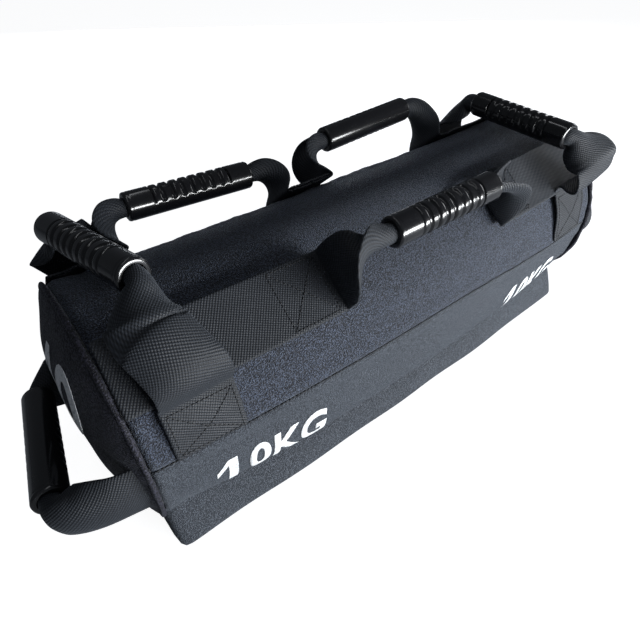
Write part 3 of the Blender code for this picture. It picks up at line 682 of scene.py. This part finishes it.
# Side handles: a band on the cover, a fold, and a rise that rolls up on its way to the grip
sideHandles = {
    "front": {"hinge": (0.004, -0.06647, 0.16164), "grip": (0.004, -0.08006, 0.18951), "axis": (1, 0, 0),
              "twist": (-98, 0), "haste": 1.1, "rise": (0.70, 0.80), "mouth": (6, 26, 70, 160, 262, 336),
              "angle": 40.0, "starts": (-0.2476, 0.2476), "folds": (-0.0860, 0.0930),
              "bands": ("front_band_left", "front_band_right")},
    "back_left": {"hinge": (-0.117, 0.07139, 0.15778), "grip": (-0.117, 0.08771, 0.17469),
                  "axis": (0.99863, -0.03636, -0.03765), "angle": -44.0, "starts": (-0.2476, -0.0200),
                  "folds": (-0.1900, -0.0440), "bands": ("back_band_left",)},
    "back_right": {"hinge": (0.078, 0.07183, 0.15727), "grip": (0.081, 0.08917, 0.18297),
                   "axis": (0.99863, 0.02927, 0.04339), "angle": -44.0, "starts": (-0.0190, 0.2476),
                   "folds": (0.0050, 0.1510), "bands": ("back_band_right",)},
}
fold = {"shares": (0.08, 0.20, 0.36, 0.56, 0.78, 1.0), "curls": (34, 110, 176, 216, 262, 336),
        "rise": (0.80, 0.80), "in": 0.0010, "out": 0.0012, "before": 0.005, "short": 0.003, "lean": 0.03,
        "enter": 0.34, "probe": 0.02}


def sideRise(handle, sign, foldX, angle):
    grips, axis, up = gripStations(handle, sign, 1.0)
    inward, along = Vector((-sign, 0, 0)), axis * -sign
    foot = onSkin(foldX, angle)
    out = foot["up"]
    end = grips[0]["at"] - along * fold["short"]
    corner = foot["at"] + inward * fold["in"] + out * fold["out"]
    reach = (end - corner).length
    climb = corner + out * sided(handle.get("rise", fold["rise"]), sign) * reach
    points = (corner, climb - inward * fold["lean"] * reach, end - along * fold["enter"] * reach, end)
    made = [onSkin(foldX - inward.x * fold["before"], angle), at(corner, out - inward * 0.8)]
    sideFold, sideGrip = inward.cross(out), along.cross(up)
    curls = handle.get("mouth", fold["curls"]) if sign < 0 else fold["curls"]
    for share, curl in zip(fold["shares"], curls):
        ahead = bezier(points, min(1.0, share + fold["probe"])) - bezier(points, share - fold["probe"])
        side = sideFold.lerp(sideGrip, min(1.0, share * handle.get("haste", 1.0)))
        width = rolledWidth((share - 0.3) / 0.7)
        made.append(at(bezier(points, share), side.cross(ahead), math.radians(curl), width))
    return made + grips


def sideHalf(handle, sign, count=9):
    start, stop, angle = sided(handle["starts"], sign), sided(handle["folds"], sign), handle["angle"]
    band = [onSkin(start + (stop - start) * i / count, angle) for i in range(count)]
    return band + sideRise(handle, sign, stop, angle)


for label, handle in sideHandles.items():
    out = (0, handle["grip"][1] - handle["hinge"][1], handle["grip"][2] - handle["hinge"][2])
    makeHandle(label, handle, sideHalf, 190, out)

middleBand = {"from": -0.0420, "to": 0.0030, "lift": 0.0040, "angle": -44.0}
bandXs = [middleBand["from"] + (middleBand["to"] - middleBand["from"]) * i / 8 for i in range(9)]
bandSpots = [onSkin(x, middleBand["angle"], middleBand["lift"]) for x in bandXs]
piece, total = makeWebbing("backMiddleWebbing", bandSpots, 16)
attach(piece, "bag")
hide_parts("back_band_middle")
print("side webbing done")

# Cross handles: sewn box, slack loop, grip, slack loop, sewn box
# Each station of a loop: angle, lift, curl in degrees, x
crossHandles = {
    "left_cross": {
        "hinge": (-0.208, 0.006, 0.166), "grip": (-0.21839, 0.022, 0.19307),
        "axis": (-0.17571, 0.97853, -0.10772), "x": -0.207, "low": 80.6,
        "front": [(57, 0.0045, 0, -0.207), (55.3, 0.0130, -10, -0.2070), (51.5, 0.0230, -40, -0.2080),
                  (46.5, 0.0290, -70, -0.2105), (40, 0.0310, -77, -0.2140), (34.2, 0.0312, -73, -0.2172),
                  (32.2, 0.0288, -74, -0.2178), (30.2, 0.0306, -82, -0.2174), (27, 0.0294, -112, -0.2160),
                  (23, 0.0300, -190, -0.2130), (19, 0.0325, -300, -0.2100)],
        "back": [(-60, 0.0040, 0, -0.208), (-58.5, 0.0095, -4, -0.2105), (-54.5, 0.0180, -8, -0.2165),
                 (-50, 0.0250, -14, -0.223), (-46, 0.0290, -24, -0.2275), (-43.5, 0.0300, -70, -0.229),
                 (-41.5, 0.0300, -200, -0.2288)]},
    "right_cross": {
        "hinge": (0.208, -0.010, 0.166), "grip": (0.18907, -0.0165, 0.19303),
        "axis": (0.07891, 0.99686, -0.00639), "x": 0.204, "low": 85.0,
        "front": [(54, 0.0045, 0, 0.204), (52.2, 0.0070, 0, 0.2035), (51.2, 0.0115, 0, 0.2035),
                  (52.2, 0.0165, 0, 0.2030), (54.6, 0.0210, -4, 0.2025), (55.2, 0.0265, -6, 0.2020),
                  (52.4, 0.0335, -8, 0.2005), (48.5, 0.0385, -8, 0.1990), (46.8, 0.0395, -10, 0.1985),
                  (43.5, 0.0398, -50, 0.1970), (39.5, 0.0405, -150, 0.193), (35.5, 0.0420, -300, 0.188)],
        "back": [(-57, 0.0040, 0, 0.207), (-53, 0.0110, -8, 0.206), (-46, 0.0190, -25, 0.203),
                 (-38, 0.0240, -60, 0.199), (-31, 0.0270, -140, 0.196), (-26, 0.0300, -260, 0.194)]},
}
sewnFoot = {"steps": 6, "seat": 0.0016, "rise": 0.0029, "backLow": -86.5, "below": 4}


def crossHalf(handle, sign):
    loop = handle[sided(("front", "back"), sign)]
    low, steps = sided((handle["low"], sewnFoot["backLow"]), sign), sewnFoot["steps"]
    made = [onSkin(handle["x"], low + (loop[0][0] - low) * i / steps,
                   sewnFoot["seat"] + sewnFoot["rise"] * smooth(i / steps)) for i in range(steps)]
    grips, axis, up = gripStations(handle, sign, -1.0)
    spots = [plainSkin(x, angle, lift) for angle, lift, _, x in loop]
    angle, lift, _, x = loop[0]
    below = plainSkin(x, angle - sewnFoot["below"] * sign, lift)
    chain = [below] + spots + [grips[0]["at"]]
    sideRoot = (spots[0] - below).normalized().cross(skinNormal(x, angle))
    sideGrip = (axis * -sign).cross(up)
    for index, (_, _, curl, _) in enumerate(loop):
        heading = (chain[index + 2] - chain[index]).normalized()
        lean = sideRoot.lerp(sideGrip, smooth(index / (len(loop) - 1))).cross(heading)
        made.append(at(spots[index], lean, math.radians(curl), rolledWidth((-curl - 60) / 260)))
    return made + grips


for label, handle in crossHandles.items():
    makeHandle(label, handle, crossHalf, 190, (0, 0, 1))
print("cross webbing done")

# End handles: sewn into the end seams low down, standing out from the ends
endHandles = {
    "left_end": {"hinge": (-0.272, 0, 0.06194), "grip": (-0.29518, 0, 0.07479),
                 "axis": (0.14571, 0.97772, -0.1511), "side": -1, "sewn": (98.0, -116.0)},
    "right_end": {"hinge": (0.272, 0, 0.06194), "grip": (0.29561, 0, 0.07397), "axis": (0, 1, 0), "side": 1,
                  "sewn": (90.0, -100.0)},
}
endRise = {"shares": (0.25, 0.45, 0.62, 0.78, 0.9, 1.0), "short": 0.003, "leave": 0.52, "lean": 0.04,
           "enter": 0.36, "curls": ((40, 84, 120, 152, 196, 262, 330), (0, 6, 14, 32, 84, 200, 330)),
           "start": 0.2505, "inside": -0.007}


def endHalf(handle, sign):
    side = handle["side"]
    grips, axis, up = gripStations(handle, sign, -1.0)
    angle, curls = sided(handle["sewn"], sign), sided(endRise["curls"], sign)
    start = plainSkin(bag["half"], angle, endRise["inside"])
    start.x = side * endRise["start"]
    out = skinNormal(0.24, angle)
    end = grips[0]["at"] + axis * sign * endRise["short"]
    reach = (end - start).length
    leave = start + Vector((side, 0, 0)) * endRise["leave"] * reach + out * endRise["lean"] * reach
    points = (start, leave, end + axis * sign * endRise["enter"] * reach, end)
    made = [at(start, out, -math.radians(curls[0]))]
    for share, curl in zip(endRise["shares"], curls[1:]):
        lean = out.lerp(up, smooth(share)).normalized()
        made.append(at(bezier(points, share), lean, -math.radians(curl), rolledWidth((curl - 60) / 260)))
    return made + grips


for label, handle in endHandles.items():
    makeHandle(label, handle, endHalf, 150, (handle["side"], 0, 0))
print("end webbing done")

# Grips: moulded tubes with grooves over part of their round, smooth ends and a lip
grip = {"length": 0.110, "radius": 0.0116, "bore": 0.0080, "ribs": 8, "pitch": 0.0085, "depth": 0.0017,
        "around": 48, "lip": 0.0018}


def gripProfile():
    radius, lip, half, count = grip["radius"], grip["lip"], grip["length"] / 2, 118
    upper = [(radius - lip * 0.3, half - lip * 0.3), (radius - lip, half), (grip["bore"], half)]
    body = [(radius, -half + lip + 2 * (half - lip) * i / count) for i in range(count + 1)]
    return [(r, -z) for r, z in upper[::-1]] + body + upper


def gripShape(radius, z, turn):
    half = grip["length"] / 2
    if radius < grip["radius"] - 0.0001:
        return radius
    first = -grip["pitch"] * grip["ribs"] / 2
    place = (z - first) / grip["pitch"]
    depth = 0.0
    if 0.0 <= place <= grip["ribs"]:
        phase = abs(place - round(place)) * grip["pitch"]
        depth = grip["depth"] * smooth(1.0 - (phase - 0.0008) / 0.0013)
    mask = smooth((abs(math.remainder(turn, 2 * math.pi)) - 1.10) / 0.14)
    ring = 0.0003 * smooth(1 - abs(abs(z) - (half - 0.0032)) / 0.0009)
    return radius - depth * mask - ring


def makeGripMesh():
    bm = bmesh.new()
    verts = [bm.verts.new((r, 0.0, z)) for r, z in gripProfile()]
    edges = [bm.edges.new(pair) for pair in zip(verts, verts[1:] + verts[:1])]
    bmesh.ops.spin(bm, geom=verts + edges, axis=(0, 0, 1), cent=(0, 0, 0), steps=grip["around"],
                   angle=2 * math.pi, use_merge=True)
    for vert in bm.verts:
        radius = math.hypot(vert.co.x, vert.co.y)
        turn = math.atan2(vert.co.y, vert.co.x)
        new = gripShape(radius, vert.co.z, turn)
        vert.co.x, vert.co.y = new * math.cos(turn), new * math.sin(turn)
    bmesh.ops.remove_doubles(bm, verts=bm.verts, dist=0.00001)
    bmesh.ops.recalc_face_normals(bm, faces=bm.faces)
    return bm


gripTurns = {"front": -111.0, "back_left": 183.0, "back_right": 100.0, "left_cross": -151.0,
             "right_cross": -141.0, "left_end": 60.0, "right_end": -60.0}
for label, handle in {**sideHandles, **crossHandles, **endHandles}.items():
    axis, up = gripFrame(handle)
    turn = Matrix((up, axis.cross(up), axis)).transposed().to_4x4()
    bm = makeGripMesh()
    spun = Matrix.Rotation(math.radians(gripTurns[label]), 4, "Z")
    bmesh.ops.transform(bm, matrix=Matrix.Translation(handle["grip"]) @ turn @ spun, verts=bm.verts)
    name = label.replace("_", "") + "GripTube"
    piece = emit(name, bm, "grip", label + "_grip", [label + "_handle_grip"], weld=False)
    piece.data.set_sharp_from_angle(angle=math.radians(50))
print("grips done")

# Weight marks on the lower front panel
marks = {"leftMark": {"words": "0KG", "first": 0.27, "x": (-0.2100, -0.1150), "angles": (121.5, 100.0)},
         "rightMark": {"words": "0KG", "first": 0.27, "x": (0.1190, 0.2050), "angles": (121.5, 103.0)},
         "endMark": {"words": "0", "first": 0.44, "y": (0.0170, -0.0340), "z": (0.0910, 0.1500)}}


def makeMark(name, facts):
    words = bpy.data.curves.new(name, "FONT")
    words.body = facts["words"]
    words.offset = 0.028
    words.space_character = 1.06
    words.resolution_u = 6
    maker = bpy.data.objects.new(name + "Maker", words)
    scene.collection.objects.link(maker)
    graph = bpy.context.evaluated_depsgraph_get()
    mesh = bpy.data.meshes.new_from_object(maker.evaluated_get(graph))
    bpy.data.objects.remove(maker, do_unlink=True)
    bm = bmesh.new()
    bm.from_mesh(mesh)
    bmesh.ops.remove_doubles(bm, verts=bm.verts, dist=0.0001)
    ends = []
    for axis, cuts in enumerate((22, 12)):
        values = [v.co[axis] for v in bm.verts]
        ends.append((min(values), max(values)))
        for k in range(1, cuts):
            spot, square = [0, 0, 0], [0, 0, 0]
            spot[axis], square[axis] = ends[axis][0] + (ends[axis][1] - ends[axis][0]) * k / cuts, 1
            bmesh.ops.bisect_plane(bm, geom=list(bm.verts) + list(bm.edges) + list(bm.faces),
                                   dist=0.0001, plane_co=spot, plane_no=square)
    (left, right), (foot, head) = ends
    for vert in bm.verts:
        vert.co.x = facts["first"] + (1 - facts["first"]) * (vert.co.x - left) / (right - left)
        vert.co.y = (vert.co.y - foot) / (head - foot)
    stem = facts["first"] * 0.36
    for vert in bmesh.ops.create_grid(bm, x_segments=3, y_segments=14, size=0.5)["verts"]:
        vert.co = Vector((stem + (vert.co.x + 0.5) * facts["first"] * 0.28, vert.co.y + 0.5, 0))
    for vert in bmesh.ops.create_grid(bm, x_segments=5, y_segments=3, size=0.5)["verts"]:
        u, v = vert.co.x + 0.5, 0.5 - vert.co.y
        vert.co = Vector((stem * u, 0.66 + 0.34 * u - 0.19 * v, 0))
    for vert in bm.verts:
        u, v = vert.co.x, vert.co.y
        if "angles" in facts:
            vert.co = skin(between(facts["x"], u), between(facts["angles"], v), 0.0005)
        else:
            vert.co = onDome(-1, between(facts["y"], u), between(facts["z"], v), 0.0005)
    thicken(bm, 0.0003, away)
    emit(name, bm, "ink", "bag", shade=False)


for markName, markFacts in marks.items():
    makeMark(markName, markFacts)
print("marks done")

# Stitching: short thread stitches lying on the webbing
thread = {"step": 0.0032, "long": 0.0030, "radius": 0.00045, "above": 0.0075, "boxHalf": 0.0215}


def stitchInto(bm, path, lift):
    lengths = lengthsOf([spot for spot, _ in path])
    count = int(lengths[-1] / thread["step"])
    for i in range(count):
        t = thread["step"] * (i + 0.5)
        k = max(j for j in range(len(lengths)) if lengths[j] <= t)
        k = min(k, len(path) - 2)
        s = (t - lengths[k]) / max(1e-9, lengths[k + 1] - lengths[k])
        centre = path[k][0].lerp(path[k + 1][0], s)
        up = path[k][1].lerp(path[k + 1][1], s).normalized()
        heading = (path[k + 1][0] - path[k][0]).normalized()
        side = heading.cross(up).normalized()
        up = side.cross(heading)
        turn = Matrix((heading, side, up)).transposed().to_4x4()
        made = bmesh.ops.create_icosphere(bm, subdivisions=1, radius=1.0)
        size = Matrix.Diagonal((thread["long"] / 2, thread["radius"], thread["radius"], 1))
        placed = Matrix.Translation(centre + up * lift) @ turn @ size
        bmesh.ops.transform(bm, matrix=placed, verts=made["verts"])


def skinPath(spots, lift):
    made = []
    for (xa, aa), (xb, ab) in zip(spots, spots[1:]):
        for i in range(8):
            x, angle = xa + (xb - xa) * i / 8, aa + (ab - aa) * i / 8
            made.append((skin(x, angle, lift), skinNormal(x, angle)))
    made.append((skin(*spots[-1], lift), skinNormal(*spots[-1])))
    return made


def onCloth(path, cloth):
    made = []
    for spot, up in path:
        found = cloth.ray_cast(spot + up * thread["above"], -up, thread["above"] * 1.6)[0]
        made.append((found if found is not None else spot, up))
    return made


def crossBox(bm, x0, x1, a0, a1, lift, cloth):
    middle = (a0 + a1) / 2 + 1
    for spots in ([(x0, a0), (x1, a0), (x1, a1), (x0, a1), (x0, a0)],
                  [(x0, a0), ((x0 + x1) / 2 + 0.002, middle), (x1, a1)],
                  [(x1, a0), ((x0 + x1) / 2 - 0.002, middle), (x0, a1)]):
        stitchInto(bm, onCloth(skinPath(spots, lift), cloth), thread["radius"] * 0.4)


def clothOf(*names):
    bm = bmesh.new()
    for name in names:
        bm.from_mesh(bpy.data.objects[name].data)
    tree = BVHTree.FromBMesh(bm)
    bm.free()
    return tree


bm = bmesh.new()
top = strip["seat"] + strip["thickness"] / 2
crossCloth = clothOf("leftcrossWebbing", "rightcrossWebbing")
for x, sewn in ((-0.207, ((79.0, 60.0), (-84, -60.5))), (0.204, ((83.5, 57.5), (-84, -60.5)))):
    for low, high in sewn:
        crossBox(bm, x - thread["boxHalf"], x + thread["boxHalf"], low, high, top + 0.0016, crossCloth)
emit("crossStitching", bm, "thread", "bag", weld=False)
bm = bmesh.new()
seamXs = [-0.246 + 0.0246 * k for k in range(21)]
stitchInto(bm, skinPath([(x, frontSeam(x)) for x in seamXs], 0.0), 0.0)
stitchInto(bm, skinPath([(-0.246, -90.0), (0.246, -90.0)], 0.0), 0.0)
emit("seamStitching", bm, "thread", "bag", weld=False)
bm = bmesh.new()
spread = math.degrees(thread["boxHalf"] / 0.094)
sideCloth = clothOf("frontWebbing", "backleftWebbing", "backrightWebbing", "backMiddleWebbing")
bandBoxes = ((-0.130, -0.0905, 40), (0.0975, 0.1370, 40), (-0.2400, -0.1990, -44), (0.1560, 0.1950, -44))
for x0, x1, angle in bandBoxes:
    crossBox(bm, x0, x1, angle - spread, angle + spread, top + 0.0001, sideCloth)
middleTop = middleBand["lift"] + strip["thickness"] / 2 + 0.0001
crossBox(bm, -0.0385, -0.0005, -44 - spread, -44 + spread, middleTop, sideCloth)
emit("bandStitching", bm, "thread", "bag", weld=False)
print("stitching done")

# Flap, its hems, the facing and the strips
flap = {"left": -0.2460, "right": 0.2320, "edge": -0.0860, "hinge": -0.0193, "thick": 0.0016}


def flapPlace(u, v):
    x = flap["left"] + (flap["right"] - flap["left"]) * u
    y = flap["hinge"] + (flap["edge"] - flap["hinge"]) * v
    wave = noise.noise(Vector((x * 14, y * 20, 1.7))) * 0.0010 * smooth(v)
    y += math.sin(x * 40) * 0.0008 * smooth(v)
    corner = smooth((abs(x) - 0.20) / 0.05) * smooth((v - 0.6) / 0.4)
    return Vector((x, y, 0.0010 + max(-0.0001, wave) + corner * 0.0008))


bm = gridOf(140, 22, flapPlace, lambda u, v: (u * 0.478, v * 0.067))
thicken(bm, flap["thick"], lambda p: Vector((0, 0, 1)))
bmesh.ops.translate(bm, verts=bm.verts, vec=(0, 0, flap["thick"] / 2))
for vert in bm.verts:
    vert.co.z = max(vert.co.z, 0.0001)
piece = emit("flapSheet", bm, "flap", "flap", ["closing_flap"])


def plate(name, xs, ys, zs, material, body, replaced):
    wide, deep = xs[1] - xs[0], ys[1] - ys[0]

    def place(u, v):
        x = between(xs, u)
        wave = noise.noise(Vector((x * 30, ys[0] * 9 + v, zs[0] * 90))) * 0.00008
        return Vector((x, between(ys, v), zs[0] + wave))

    columns, rows = max(4, int(wide / 0.004)), max(4, int(deep / 0.003))
    bm = gridOf(columns, rows, place, lambda u, v: (u * wide, v * deep))
    thicken(bm, zs[1] - zs[0] - 0.0001, lambda p: Vector((0, 0, -1)))
    piece = emit(name, bm, material, body, [replaced])


hem = {"wide": 0.012, "y": (flap["edge"], -0.0203), "z": (0.0023, 0.0029)}
leftHem, rightHem = (flap["left"], flap["left"] + hem["wide"]), (flap["right"] - hem["wide"], flap["right"])
plate("hemLeft", leftHem, hem["y"], hem["z"], "flap", "flap", "flap_hem_left")
plate("hemRight", rightHem, hem["y"], hem["z"], "flap", "flap", "flap_hem_right")
tape = {"x": (flap["left"] + 0.0123, flap["right"] - 0.0123), "y": (-0.078, -0.058)}
plate("hookTape", tape["x"], tape["y"], (0.0023, 0.0031), "hook", "flap", "hook_strip")
plate("loopTape", tape["x"], tape["y"], (0.0034, 0.0042), "hook", "bag", "loop_strip")
facing = {"x": (flap["left"], flap["right"]), "y": (-0.079, -0.034), "z": (0.0045, 0.0057)}
plate("facingSheet", facing["x"], facing["y"], facing["z"], "flap", "bag", "closing_facing")

# The fall of the lower front panel, down to the floor in front of the flap
skirt = {"left": -0.2500, "right": 0.2350, "top": 126.0, "turn": 0.035, "hem": 0.0014, "thick": 0.0012}


def skirtPlace(u, v):
    near = min(u, 1.0 - u)
    back = max(0.0, 1.0 - near / skirt["turn"]) ** 4
    x = skirt["left"] + (skirt["right"] - skirt["left"]) * u
    if near < skirt["turn"]:
        edge = skirt["left"] if u < 0.5 else skirt["right"]
        x = edge + (x - edge) * (near / skirt["turn"]) ** 1.6
    if v < 0.2:
        share = v / 0.2
        tucked = skirt["top"] + 16.0 * back - 4.0 * (1 - share)
        return skin(x, tucked, -0.0012 + 0.0012 * smooth(share))
    v = (v - 0.2) / 0.8
    foot = Vector((x, -0.0893 - 0.0050 * fullness(x) + 0.034 * back, skirt["hem"]))
    top = skin(x, skirt["top"] + 16.0 * back, 0.0)
    wave = noise.noise(Vector((x * 13, v * 1.5, 5.5))) * 0.0014 + math.sin(x * 55) * 0.0005
    point = top.lerp(foot, v)
    point.y -= 0.0012 * math.sin(math.pi * v) * (1 - back) - wave * v
    return point


bm = gridOf(150, 25, skirtPlace)
thicken(bm, skirt["thick"], lambda p: Vector((0, -1, 0)))
for vert in bm.verts:
    vert.co.z = max(vert.co.z, 0.0002)
piece = emit("skirtSheet", bm, "lower", "bag")
zipX, zipZ = (-0.230, 0.234), (0.0074, 0.0080)
plate("zipFrontWeb", zipX, (-0.0325, -0.0286), zipZ, "webbing", "bag", "zip_front_tape")
plate("zipBackWeb", zipX, (-0.0234, -0.0195), zipZ, "webbing", "bag", "zip_back_tape")
print("flap done")

# CAD nodes that stay get their materials
kept = {"foam_lining": "foam", "liner_bag": "liner", "liner_clamp": "coil", "filling": "filling",
        "zip_front_coil": "coil", "zip_back_coil": "coil", "zip_slider": "metal", "pull_tab": "metal"}
for nodeName, materialName in kept.items():
    mesh = bpy.data.objects[nodeName].data
    mesh.materials.clear()
    mesh.materials.append(mats[materialName])
print("kept nodes done")


# Floor, light and camera: floor and world are white to the camera alone
def whiteToCamera(tree, plain, seen, output):
    mix = node(tree, "ShaderNodeMixShader")
    tree.links.new(node(tree, "ShaderNodeLightPath").outputs["Is Camera Ray"], mix.inputs[0])
    tree.links.new(plain.outputs[0], mix.inputs[1])
    tree.links.new(seen.outputs[0], mix.inputs[2])
    tree.links.new(mix.outputs[0], output.inputs["Surface"])


def whiteFloor():
    material = bpy.data.materials.new("whiteFloor")
    material.use_nodes = True
    tree = material.node_tree
    tree.nodes.remove(tree.nodes["Principled BSDF"])
    diffuse = node(tree, "ShaderNodeBsdfDiffuse", {"Color": (0.50, 0.52, 0.55, 1)})
    glow = node(tree, "ShaderNodeEmission", {"Color": (1, 1, 1, 1), "Strength": 0.92})
    add = node(tree, "ShaderNodeAddShader")
    tree.links.new(diffuse.outputs[0], add.inputs[0])
    tree.links.new(glow.outputs[0], add.inputs[1])
    whiteToCamera(tree, diffuse, add, tree.nodes["Material Output"])
    return material


mats["floor"] = whiteFloor()
bm = bmesh.new()
bmesh.ops.create_grid(bm, x_segments=2, y_segments=2, size=6.0)
bmesh.ops.translate(bm, verts=bm.verts, vec=(0, 0, -0.0006))
floorPiece = emit("floor", bm, "floor", shade=False, weld=False)

world = bpy.data.worlds.new("studio")
scene.world = world
world.use_nodes = True
world.node_tree.nodes.clear()
seen = node(world.node_tree, "ShaderNodeBackground", {"Color": (1, 1, 1, 1), "Strength": 1.0})
dim = node(world.node_tree, "ShaderNodeBackground", {"Color": (0.80, 0.88, 1.0, 1), "Strength": 0.08})
whiteToCamera(world.node_tree, dim, seen, node(world.node_tree, "ShaderNodeOutputWorld"))

lamps = {
    "frontSoft": {"place": (0.45, -1.25, 0.10), "aim": (0.0, 0.0, 0.06), "size": (1.2, 0.4), "power": 54.0,
                  "color": (0.97, 0.99, 1.0)},
    "topStrip": {"place": (-0.10, 0.05, 1.20), "aim": (0.0, 0.0, 0.1), "size": (1.4, 0.10), "power": 1.2,
                 "color": (0.93, 0.96, 1.0)},
    "backSoft": {"place": (0.80, 1.25, 0.12), "aim": (0.0, 0.0, 0.05), "size": (1.4, 0.3), "power": 14.0,
                 "color": (0.95, 0.97, 1.0), "shine": False},
    "rightSoft": {"place": (1.25, -0.15, 0.40), "aim": (0.1, 0.0, 0.12), "size": (0.5, 0.5), "power": 2.5,
                  "color": (0.95, 0.97, 1.0)},
}
for lampName, facts in lamps.items():
    data = bpy.data.lights.new(lampName, "AREA")
    data.shape = "RECTANGLE"
    data.size, data.size_y = facts["size"]
    data.energy = facts["power"]
    data.color = facts["color"]
    lamp = bpy.data.objects.new(lampName, data)
    lamp.location = facts["place"]
    lamp.rotation_euler = (Vector(facts["aim"]) - Vector(facts["place"])).to_track_quat("-Z", "Y").to_euler()
    scene.collection.objects.link(lamp)
    lamp.visible_glossy = facts.get("shine", True)

camera = bpy.data.objects.new("camera", bpy.data.cameras.new("camera"))
camera.data.lens = 27.37
camera.data.sensor_width = 36.0
camera.data.clip_start = 0.01
camera.location = (-0.26498, -0.27132, 0.36814)
camera.rotation_euler = (math.radians(47.62), 0.0, math.radians(-38.65))
scene.collection.objects.link(camera)
scene.camera = camera
scene.view_settings.view_transform = "Standard"
print("stage done")
